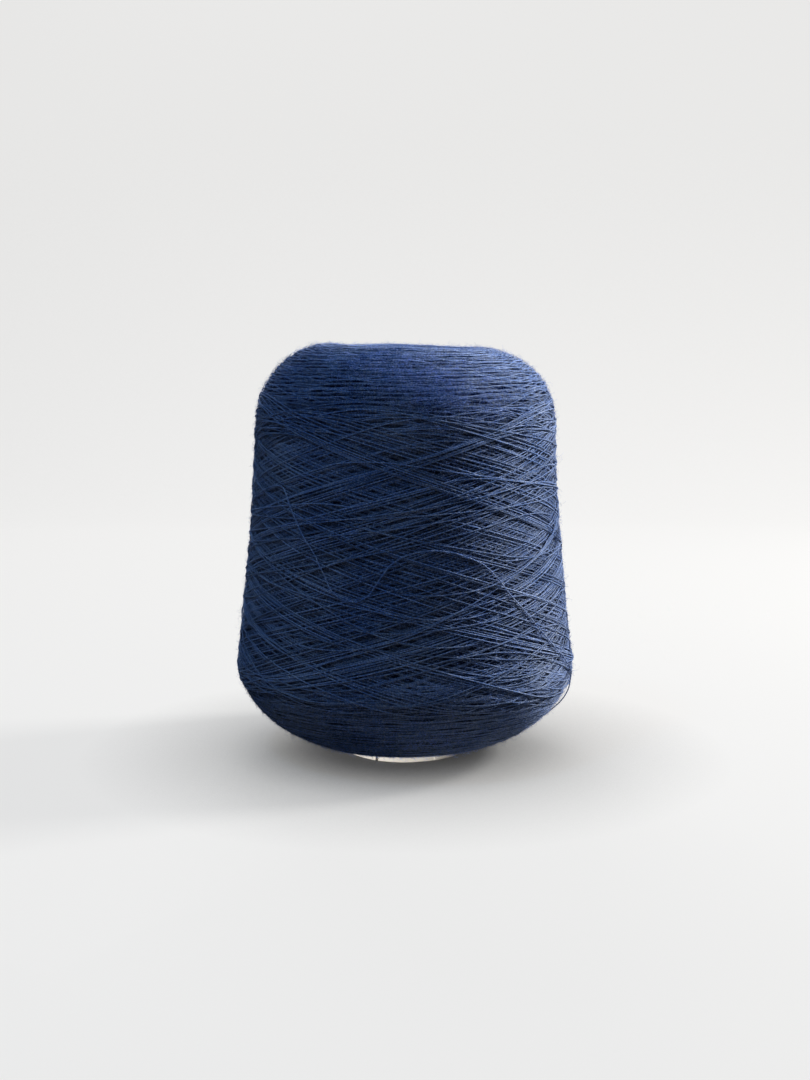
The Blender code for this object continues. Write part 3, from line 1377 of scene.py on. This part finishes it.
def spaced(curve: np.ndarray, step: float) -> np.ndarray:
    """Spaces points evenly along a curve.

    Args:
        curve: a dense curve.
        step: how far apart the points are.

    Returns:
        The points.
    """
    reach = np.append(0, np.cumsum(np.linalg.norm(np.diff(curve, axis=0), axis=1)))
    wanted = np.linspace(0, reach[-1], int(reach[-1] / step) + 1)
    return np.stack([np.interp(wanted, reach, axis) for axis in curve.T], -1)


def length_of(curve: np.ndarray) -> float:
    """Returns a curve's length."""
    return float(np.linalg.norm(np.diff(curve, axis=0), axis=1).sum())


class FarEnd(Enum):
    """What a loose end's far end does."""

    TUCKED = "object"
    BARE = "bare"


@dataclass
class PliedYarn:
    """A loose length of the yarn: two plies twisted together, with fibres standing off."""

    name: str
    route: np.ndarray
    far_end: FarEnd
    seed: int
    diameter: float = 0.0007
    ply_radius: float = 0.00022
    twist_length: float = 0.0034
    ring_step: float = 0.00030
    sides: int = 12
    hairs_per_metre: float = 900
    hair_width: float = 0.000035
    hair_size: tuple[float, float] = (0.0005, 0.0017)
    hair_tone: float = 1.3
    end_length: float = 0.0006
    end_share: float = 0.35
    path_step: int = 6
    tone: float = 1.0

    def tube(self, path: np.ndarray) -> tuple[np.ndarray, np.ndarray, np.ndarray, np.ndarray]:
        """Makes the twisted tube.

        Args:
            path: its middle line, in even steps.

        Returns:
            Its points, face corners, face sizes and UVs.
        """
        run = np.gradient(path, axis=0)
        run /= np.linalg.norm(run, axis=1, keepdims=True)
        side = np.cross(run, (0.0, 0.0, 1.0))
        side /= np.linalg.norm(side, axis=1, keepdims=True)
        over = np.cross(side, run)
        apart = self.diameter / 2 - self.ply_radius
        angle = np.arange(self.sides) * math.tau / self.sides
        beyond = np.sqrt(self.ply_radius**2 - (apart * np.sin(angle)) ** 2)
        girth = apart * np.abs(np.cos(angle)) + beyond
        reach = np.arange(len(path)) * self.ring_step
        turn = angle[None] + math.tau * reach[:, None] / self.twist_length
        thin = np.clip(np.minimum(reach, reach[::-1]) / self.end_length, self.end_share, 1)[:, None]
        out = girth[None] * thin
        points = (
            path[:, None]
            + side[:, None] * (out * np.cos(turn))[..., None]
            + over[:, None] * (out * np.sin(turn))[..., None]
        )
        i, k = np.meshgrid(np.arange(len(path) - 1), np.arange(self.sides), indexing="ij")
        after = (k + 1) % self.sides
        n = self.sides
        quad = np.stack([i * n + k, (i + 1) * n + k, (i + 1) * n + after, i * n + after], -1)
        quad = quad.reshape(-1, 4)
        last = (len(path) - 1) * n
        caps = [np.arange(n), last + np.arange(n)[::-1]]
        u = np.stack([reach[i], reach[i + 1], reach[i + 1], reach[i]], -1)
        v = np.stack([k, k, k + 1, k + 1], -1) / n
        uv = np.stack([u, v], -1).reshape(-1, 2)
        uv = np.vstack([uv, np.zeros((2 * n, 2))])
        faces = np.concatenate([quad.ravel(), *caps])
        return points.reshape(-1, 3), faces, np.append(np.full(len(quad), 4), [n, n]), uv

    def hairs(self, path: np.ndarray) -> Bundle:
        """Makes short fibres that stand off the yarn.

        Args:
            path: the yarn's middle line.

        Returns:
            The fibres.
        """
        draw = np.random.default_rng(self.seed)
        count = int(length_of(path) * self.hairs_per_metre)
        hairs = Bundle(3, self.hair_width, self.hair_width, taper=True)
        run = np.gradient(path, axis=0)
        run /= np.linalg.norm(run, axis=1, keepdims=True)
        for at in draw.integers(4, len(path) - 4, count):
            away = draw.normal(size=3)
            away -= run[at] * (away @ run[at])
            away /= np.linalg.norm(away)
            bent = run[at] * draw.choice((-1.0, 1.0)) * draw.uniform(0.4, 1.6) + away
            curl = draw.normal(0, 0.7, 3)
            t = np.linspace(0, 1, 5)[:, None]
            size = draw.uniform(*self.hair_size)
            line = path[at] + away * self.ply_radius + size * (bent * t + curl * t * t * 0.6)
            line[:, 2] = np.maximum(line[:, 2], self.hair_width)
            hairs.add(line, np.broadcast_to(np.cross(run[at], away), line.shape), self.hair_tone)
        return hairs

    def build(self, wool: bpy.types.Material, fibre: bpy.types.Material) -> None:
        """Args:
            wool: the yarn's material.
            fibre: its fibres' material.
        """
        path = spaced(self.route, self.ring_step)
        points, faces, sizes, uv = self.tube(path)
        mesh = mesh_of(self.name, points, faces, sizes)
        set_uv(mesh, uv)
        set_tone(mesh, np.full(len(points), self.tone))
        yarn = bpy.data.objects.new(f"{self.name}_yarn", mesh)
        link(yarn, wool)
        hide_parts(self.name)
        name = f"{self.name}_fibres"
        hairs = bpy.data.objects.new(name, self.hairs(path).mesh(name))
        link(hairs, fibre)
        log.info("%s: %.3f m long, %d faces", yarn.name, length_of(path), len(mesh.polygons))


@dataclass
class YarnEnds:
    """The yarn's two ends: the outer one lies over the winding, the inner one in the rim."""

    outline: Outline
    cone: ConeShape
    diameter: float = 0.0007
    highest: float = 0.0026
    clear: float = 0.0001
    rest_reach: int = 8
    tuck: float = 0.0009
    tucked: int = 60
    # Degrees round the axis, station on the outline, and how far it stands off the winding.
    outer_route: tuple[tuple[float, float, float], ...] = (
        (-190, 1.59, 0), (-175, 1.64, 0), (-160, 1.71, 0), (-148, 1.755, 0), (-139, 1.765, 0),
        (-133, 1.68, 0), (-128, 1.60, 0), (-123, 1.535, 0), (-119, 1.47, 0), (-116.5, 1.415, 0),
        (-113, 1.372, 0), (-107.5, 1.354, 0), (-102.5, 1.375, 0), (-99, 1.43, 0), (-95, 1.492, 0),
        (-90, 1.529, 0), (-83, 1.547, 0), (-76, 1.543, 0), (-70, 1.524, 0), (-63, 1.487, 0),
        (-57.5, 1.43, 0), (-54, 1.38, 0), (-48.5, 1.315, 0), (-43, 1.252, 0), (-35, 1.161, 0),
        (-27, 1.090, 0), (-19.5, 1.030, 0), (-16, 0.955, 0), (-14.5, 0.875, 0.0005),
        (-13.5, 0.79, 0.0011), (-13, 0.70, 0.0010), (-12, 0.60, 0.0002), (-8.5, 0.50, 0),
        (-2, 0.41, 0), (8, 0.33, 0), (22, 0.26, 0), (40, 0.20, 0), (60, 0.14, 0),
        (82, 0.085, 0), (104, 0.055, 0),
    )
    # Degrees from the notch, how far in from the rim's outside, and height.
    inner_route: tuple[tuple[float, float, float], ...] = (
        (0, -0.0032, 0.0043), (0, -0.0014, 0.0031), (0, 0.0012, 0.0016), (0, 0.0034, 0.0009),
        (5, 0.0046, 0.0005), (16, 0.0050, 0.0004), (34, 0.0047, 0.0004), (54, 0.0054, 0.0004),
        (76, 0.0064, 0.0004), (98, 0.0060, 0.0004), (118, 0.0048, 0.0004),
    )

    def outer_points(self, relief: Relief) -> np.ndarray:
        """Draws the outer end's route over the winding.

        Args:
            relief: the strands that it rests on.

        Returns:
            The route's points.
        """
        turn, station, lift = smooth_route(np.array(self.outer_route)).T
        turn = np.radians(turn)
        place = np.interp(station, self.outline.station, self.outline.place)
        under = relief.stands(turn, place)
        reach = self.rest_reach
        padded = np.pad(under, reach, mode="edge")
        under = np.max([padded[i : i + len(under)] for i in range(2 * reach + 1)], axis=0)
        under = np.clip(soften(under, reach) + self.clear, 0, self.highest)
        count = np.arange(len(turn))
        ends = np.clip(1 - np.minimum(count, count[::-1]) / self.tucked, 0, 1)
        off = np.maximum(self.cone.fit_gap + lift, under) - self.tuck * ends
        return self.outline.point(turn, place, self.diameter / 2 + off)

    def inner_points(self) -> np.ndarray:
        """Draws the inner end's route through the notch and along the inside of the rim.

        Returns:
            The route's points.
        """
        turn, inset, height = np.array(self.inner_route).T
        turn = np.radians(turn) + self.cone.notch_turn
        return smooth_route(around(turn, self.cone.base_radius - inset, height))

    def build(self, relief: Relief, wool: bpy.types.Material, fibre: bpy.types.Material) -> None:
        """Makes both ends.

        Args:
            relief: the strands that the outer one rests on.
            wool: the yarn's material.
            fibre: its fibres' material.
        """
        outer, inner = self.outer_points(relief), self.inner_points()
        PliedYarn("outer_end", outer, FarEnd.TUCKED, 21, self.diameter).build(wool, fibre)
        PliedYarn("inner_end", inner, FarEnd.BARE, 22, self.diameter).build(wool, fibre)


# ---------------------------------------------------------------- the paper cone


@dataclass
class PaperCone:
    """The rolled paper cone: its outer ply ends in a seam, its nose is turned in."""

    shape: ConeShape
    steps: int = 288
    ply: float = 0.00028
    seam_turn: float = math.radians(-62)
    ply_lines: int = 6
    ply_relief: float = 0.00006
    wave: float = 0.00012
    lip_hollow: float = 0.0003
    wear: float = 0.00004
    low_part: float = 0.0036
    wave_part: float = 0.004
    side_top: float = 0.193
    rows: tuple[float, ...] = (
        0.0010, 0.0018, 0.0028, 0.0036, 0.006, 0.01, 0.02, 0.05, 0.08, 0.11, 0.14, 0.17,
    )

    def outline(self) -> tuple[np.ndarray, np.ndarray]:
        """Draws the wall's closed outline, down its outside first.

        Returns:
            The outline's radii and heights, and which of its points lie outside.
        """
        c = self.shape
        bead = c.bead / 2
        top = c.length - bead
        middle = c.radius(top) - bead
        angle = np.linspace(math.pi, 0, 17)
        nose = np.stack([middle + bead * np.cos(angle), top + bead * np.sin(angle)], -1)
        height = np.array([self.side_top, *self.rows[::-1]])
        side = np.stack([c.radius(height), height], -1)
        turned = np.linspace(0, math.pi / 2, 5)
        away, near = c.rounding * (1 - np.cos(turned)), c.rounding * (1 - np.sin(turned))
        outer_edge = np.stack([c.base_radius - away, near], -1)
        inside = c.base_radius - c.wall
        rim = np.linspace(c.base_radius - c.rounding, inside + c.rounding, self.ply_lines * 4 + 1)[1:-1]
        line = self.ply_relief * (1 + np.cos(np.arange(1, len(rim) + 1) * math.tau / 4))
        inner_edge = np.stack([inside + near, away], -1)
        height = np.array(self.rows)
        bore = np.stack([c.radius(height) - c.wall, height], -1)
        lip = c.length - c.bead - c.bead_length
        rise = np.linspace(0, 1, 8)
        radius = (c.radius(lip) - c.wall) * (1 - rise) + (middle - bead) * rise
        radius -= self.lip_hollow * np.sin(rise * math.pi) ** 2
        turned_in = np.stack([radius, lip + c.bead_length * rise], -1)
        parts = [nose, side, outer_edge, np.stack([rim, line], -1), inner_edge, bore, turned_in]
        outline = np.concatenate(parts)
        outer = np.arange(len(outline)) < len(nose) + len(side) + len(outer_edge)
        return outline, outer

    def turns(self) -> tuple[np.ndarray, np.ndarray, np.ndarray]:
        """Sets out the columns round the cone, with more at the notch and the seam.

        Returns:
            The columns' turns, which of them lie in the notch, and how far past the seam each is.
        """
        c = self.shape
        half = math.asin(c.notch_width / 2 / c.base_radius)
        even = np.arange(self.steps) * math.tau / self.steps
        notch = c.notch_turn % math.tau
        seam = self.seam_turn % math.tau
        gap = np.abs((even - notch + math.pi) % math.tau - math.pi)
        even = even[gap > half * 1.1]
        turn = np.concatenate([even, notch + half * np.array([-1, -1, -0.4, 0.4, 1, 1]), [seam, seam]])
        cut = np.concatenate([np.zeros(len(even)), [0, 1, 1, 1, 1, 0], [0, 0]])
        past = (turn - seam) % math.tau
        past[-2:] = (math.tau, 0)
        at_seam = np.abs(turn - seam) < 1e-9
        order = np.lexsort((-past * at_seam, self.cut_order(turn, cut, notch), turn))
        return turn[order], cut[order], past[order]

    @staticmethod
    def cut_order(turn: np.ndarray, cut: np.ndarray, notch: float) -> np.ndarray:
        """Returns which of two columns at the same turn comes first: outside the notch, then in it."""
        return np.where(turn < notch, cut, 1 - cut)

    def mesh(self) -> bpy.types.Mesh:
        """Makes the cone's wall, with its seam, its notch and its worn rim.

        Returns:
            Its mesh.
        """
        c = self.shape
        outline, outer = self.outline()
        turn, cut, past = self.turns()
        height = np.broadcast_to(outline[:, 1], (len(turn), len(outline))).copy()
        radius = np.broadcast_to(outline[:, 0], height.shape).copy()
        base = cut[:, None] * c.notch_depth
        squeezed = base + height * (self.low_part - base) / self.low_part
        height = np.where(height < self.low_part, squeezed, height)
        step = self.ply * (1 - past / math.tau)
        radius -= np.where(outer[None], (self.ply - step)[:, None], 0)
        radius += np.where(outer[None], 0, -0.5 * step[:, None])
        near = np.clip(1 - outline[:, 1] / self.wave_part, 0, 1)[None]
        wave = np.sin(5 * turn + 1) + 0.6 * np.sin(13 * turn) + 0.4 * np.sin(29 * turn + 2)
        radius -= self.wave * near * (1 + 0.5 * wave[:, None])
        worn = np.where(outline[None, :, 1] < 0.0005, self.wear * (1.9 + wave[:, None]), 0)
        height += worn * (1 - cut[:, None])
        turns = np.broadcast_to(turn[:, None], height.shape)
        return turned_mesh("paper_cone_rolled", around(turns, radius, height))

    def build(self, paper: bpy.types.Material) -> None:
        """Makes the cone.

        Args:
            paper: its material.
        """
        cone = bpy.data.objects.new("paper_cone_rolled", self.mesh())
        link(cone, paper)
        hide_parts("paper_cone")
        log.info("%s: %d faces", cone.name, len(cone.data.polygons))


# ---------------------------------------------------------------- fibres


@dataclass(frozen=True)
class Tuft:
    """A place where fibres stand thicker and curl more.

    Attributes:
        turn: its turn round the axis.
        height: its height.
        wide: how far it spreads round the winding.
        tall: how far it spreads up and down.
        count: the number of its fibres.
    """

    turn: float
    height: float
    wide: float
    tall: float
    count: int


@dataclass(frozen=True)
class FibreKind:
    """One kind of loose fibre.

    Attributes:
        name: its pieces' name, which a number follows.
        count: the number of fibres all over, without its tufts.
        width: how thick a fibre is.
        lengths: the shortest and the longest fibre.
        standing: how steeply they stand off the wool.
        curl: how sharply they bend.
        bright: their tone.
        tufts: where more of them stand.
    """

    name: str
    count: int
    width: float
    lengths: tuple[float, float]
    standing: float
    curl: float
    bright: float
    tufts: tuple[Tuft, ...] = ()


@dataclass
class Fuzz:
    """The fibres that stand off the winding all over."""

    outline: Outline
    seed: int = 11
    points: int = 4
    most_triangles: int = 185_000
    root_lift: float = 0.0001
    margin: float = 0.0006
    tone_wander: float = 0.22
    kinds: tuple[FibreKind, ...] = (
        FibreKind("wool_fuzz", 52000, 0.00009, (0.0007, 0.0022), standing=0.34, curl=200, bright=1.0),
        FibreKind("wool_hairs", 15000, 0.00009, (0.0018, 0.0045), standing=0.40, curl=260, bright=1.0),
        FibreKind(
            "wool_curls",
            500,
            0.00010,
            (0.0012, 0.0036),
            standing=0.45,
            curl=700,
            bright=1.5,
            tufts=(
                Tuft(math.radians(-84), 0.186, 0.017, 0.006, 1500),
                Tuft(math.radians(-66), 0.178, 0.020, 0.006, 900),
                Tuft(math.radians(-97), 0.195, 0.022, 0.005, 1000),
                Tuft(math.radians(-80), 0.021, 0.009, 0.003, 300),
                Tuft(math.radians(-92), 0.030, 0.030, 0.012, 800),
            ),
        ),
    )

    def places(self, kind: FibreKind, draw: np.random.Generator) -> tuple[np.ndarray, np.ndarray]:
        """Draws where the fibres of one kind stand.

        Args:
            kind: the kind.
            draw: the random draws.

        Returns:
            Their turns and their places.
        """
        o = self.outline
        share = np.append(0, np.cumsum(o.radius[1:] * np.diff(o.place)))
        place = np.interp(draw.uniform(0, share[-1], kind.count), share, o.place)
        turn = draw.uniform(0, math.tau, kind.count)
        side = o.place < o.place_of(3.0)
        for tuft in kind.tufts:
            height = draw.normal(tuft.height, tuft.tall, tuft.count)
            near = np.interp(height, o.height[side], o.place[side])
            place = np.append(place, near)
            spread = draw.normal(0, tuft.wide, tuft.count) / o.radius_at(near)
            turn = np.append(turn, tuft.turn + spread)
        return turn, place

    def build(self, fibre: bpy.types.Material) -> None:
        """Makes the fibres of every kind."""
        draw = np.random.default_rng(self.seed)
        for kind in self.kinds:
            self.build_kind(kind, draw, fibre)

    def build_kind(self, kind: FibreKind, draw: np.random.Generator, fibre: bpy.types.Material) -> None:
        """Makes the fibres of one kind.

        Args:
            kind: the kind.
            draw: the random draws.
            fibre: their material.
        """
        o = self.outline
        turn, place = self.places(kind, draw)
        count = len(turn)
        size = draw.uniform(*kind.lengths, count) * draw.uniform(0.5, 1, count)
        t = np.linspace(0, 1, self.points)[None]
        heading = draw.uniform(0, math.tau, count)[:, None]
        heading = heading + draw.normal(0, kind.curl, count)[:, None] * size[:, None] * t
        run = size[:, None] / (self.points - 1)
        across = np.cumsum(np.cos(heading) * run, axis=1)
        along = np.cumsum(np.sin(heading) * run, axis=1)
        steep = np.abs(draw.normal(0, kind.standing, count)) + 0.04
        rise = size[:, None] * steep[:, None] * np.sin(t * draw.uniform(1.2, 3.0, count)[:, None])
        rows = np.clip(place[:, None] + along, self.margin, o.length - self.margin)
        turns = turn[:, None] + across / o.radius_at(rows)
        centres = o.point(turns, rows, rise + self.root_lift)
        centres[..., 2] = np.maximum(centres[..., 2], kind.width)
        outwards = o.outward_at(turns, rows)
        tones = kind.bright * draw.normal(1.0, self.tone_wander, count)
        pieces: list[Bundle] = []
        for index in range(count):
            if not pieces or pieces[-1].triangles > self.most_triangles:
                pieces.append(Bundle(3, kind.width, kind.width, taper=True))
            pieces[-1].add(centres[index], outwards[index], float(tones[index]))
        for number, bundle in enumerate(pieces, 1):
            name = f"{kind.name}_{number}"
            link(bpy.data.objects.new(name, bundle.mesh(name)), fibre)
            log.info("%s: %d triangles", name, bundle.triangles)


# ---------------------------------------------------------------- stage


@dataclass(frozen=True)
class Lamp:
    """One soft lamp, which faces the object's axis.

    Attributes:
        name: its name.
        turn: its turn round the object, in degrees.
        tilt: how steeply it shines down, in degrees.
        away: its distance from what it faces.
        size: its width.
        watts: its power.
        height: the height on the axis that it faces.
        tall: its own height, where it isn't square.
        spread: how wide its beam is, in degrees.
        colour: its light's colour.
    """

    name: str
    turn: float
    tilt: float
    away: float
    size: float
    watts: float
    height: float = 0.1
    tall: float | None = None
    spread: float = 180
    colour: tuple[float, float, float] = (1.0, 1.0, 1.0)

    def build(self) -> None:
        """Makes the lamp."""
        data = bpy.data.lights.new(self.name, "AREA")
        data.color = self.colour
        data.shape = "RECTANGLE"
        data.size = self.size
        data.size_y = self.size if self.tall is None else self.tall
        data.energy = self.watts
        data.spread = math.radians(self.spread)
        lamp = bpy.data.objects.new(self.name, data)
        turn, tilt = math.radians(self.turn), math.radians(self.tilt)
        level = math.cos(tilt)
        aim = np.array([math.cos(turn) * level, math.sin(turn) * level, math.sin(tilt)])
        lamp.location = aim * self.away + (0, 0, self.height)
        lamp.rotation_euler = (math.pi / 2 - tilt, 0, turn + math.pi / 2)
        bpy.context.collection.objects.link(lamp)


@dataclass
class Studio:
    """Pale floor and backdrop, soft lamps and the camera."""

    top: float
    distance_by_top: float = 3.655
    pitch: float = math.radians(7.47)
    lens: float = 49.93
    sensor: float = 36.0
    sky: tuple[float, float, float] = (0.36, 0.60, 1.0)
    sky_strength: float = 0.028
    beyond: tuple[float, float, float] = (1.0, 0.995, 0.985)
    beyond_strength: float = 0.82
    half_width: float = 4.0
    floor_front: float = -2.5
    floor_back: float = 0.9
    bend_radius: float = 0.5
    wall_top: float = 3.0
    lamps: tuple[Lamp, ...] = (
        Lamp("key_lamp", turn=16, tilt=30, away=1.6, size=0.35, watts=37.0, colour=(1.0, 0.98, 0.95)),
        Lamp("fill_lamp", turn=-132, tilt=58, away=1.4, size=0.20, watts=3.8, colour=(0.38, 0.66, 1.0)),
        Lamp("back_lamp", turn=98, tilt=32, away=1.6, size=0.6, watts=12.0),
        Lamp("low_lamp", -122, 0, away=0.3, size=0.1, watts=0.0028, height=0.002, tall=0.004, spread=3),
    )

    def build(self) -> None:
        """Makes the stage, the lamps, the world and the camera."""
        self.backdrop()
        for lamp in self.lamps:
            lamp.build()
        self.world()
        self.camera()

    def backdrop(self) -> None:
        """Makes a floor that curves up into a backdrop."""
        bend = np.linspace(0.1, np.pi / 2, 12)
        back = self.floor_back + self.bend_radius
        bent = self.floor_back + self.bend_radius * np.sin(bend)
        depth = np.array([self.floor_front, self.floor_back, *bent, back])
        bent = self.bend_radius - self.bend_radius * np.cos(bend)
        rise = np.array([0.0, 0.0, *bent, self.wall_top])
        points = [(x, y, z) for x in (-self.half_width, self.half_width) for y, z in zip(depth, rise)]
        count = len(depth)
        faces = [(i, i + count, i + count + 1, i + 1) for i in range(count - 1)]
        mesh = bpy.data.meshes.new("floor")
        mesh.from_pydata(points, [], faces)
        mesh.shade_smooth()
        floor = bpy.data.objects.new("floor", mesh)
        bpy.context.collection.objects.link(floor)
        mesh.materials.append(StageFinish().material())

    def world(self) -> None:
        """Gives the scene an even soft light, and a pale sky where the camera sees past the floor."""
        world = bpy.data.worlds.new("soft_light")
        bpy.context.scene.world = world
        world.use_nodes = True
        n = Nodes(world.node_tree)
        seen = n.seen()
        background = world.node_tree.nodes["Background"].inputs
        n.feed(background["Color"], n.blend(seen, (*self.sky, 1), (*self.beyond, 1)))
        strength = n.spread(seen, 0.0, 1.0, self.sky_strength, self.beyond_strength)
        n.feed(background["Strength"], strength)

    def camera(self) -> None:
        """Sets the camera level with the top of the winding, tilted a little down."""
        data = bpy.data.cameras.new("camera")
        data.sensor_fit = "VERTICAL"
        data.sensor_height = self.sensor
        data.lens = self.lens
        data.clip_start = 0.01
        camera = bpy.data.objects.new("camera", data)
        camera.location = (0, -self.distance_by_top * self.top, self.top)
        camera.rotation_euler = (math.pi / 2 - self.pitch, 0, 0)
        bpy.context.collection.objects.link(camera)
        bpy.context.scene.camera = camera


def main() -> None:
    """Dresses the frame, piece by piece."""
    logging.basicConfig(level=logging.INFO, format="%(message)s")
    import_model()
    cone = ConeShape.from_frame()
    outline = Outline(cone)
    Studio(outline.crest_height).build()
    tone, twist = tone_group(), twist_group()
    wool = WoolFinish("navy_wool").material(tone, twist)
    # Painted shade: a darker copy of the wool for the core, which shows only in the gaps between the
    # strands.
    under = WoolFinish("navy_wool_core_painted_shade", colour=(0.040, 0.070, 0.19), lighter=(0.07, 0.11, 0.27))
    fibre = WoolFinish("navy_wool_fibre", colour=(0.16, 0.27, 0.66), lighter=(0.38, 0.50, 0.92))
    fibre = fibre.material(tone, None)
    # Painted shade: the loose ends are darkened in the grooves between their plies, but not low on
    # their sides.
    loose = WoolFinish("navy_wool_loose", painted_side_shade=0.0, painted_ply_gap_shade=0.6).material(tone, twist)
    winding = Winding(outline)
    winding.wind()
    YarnEnds(outline, cone).build(winding.relief, loose, fibre)
    PaperCone(cone).build(PaperFinish().material())
    build_winding(winding, wool, under.material(tone, None))
    Fuzz(outline).build(fibre)
    bpy.context.scene.view_settings.view_transform = "Standard"


if __name__ == "__main__":
    main()
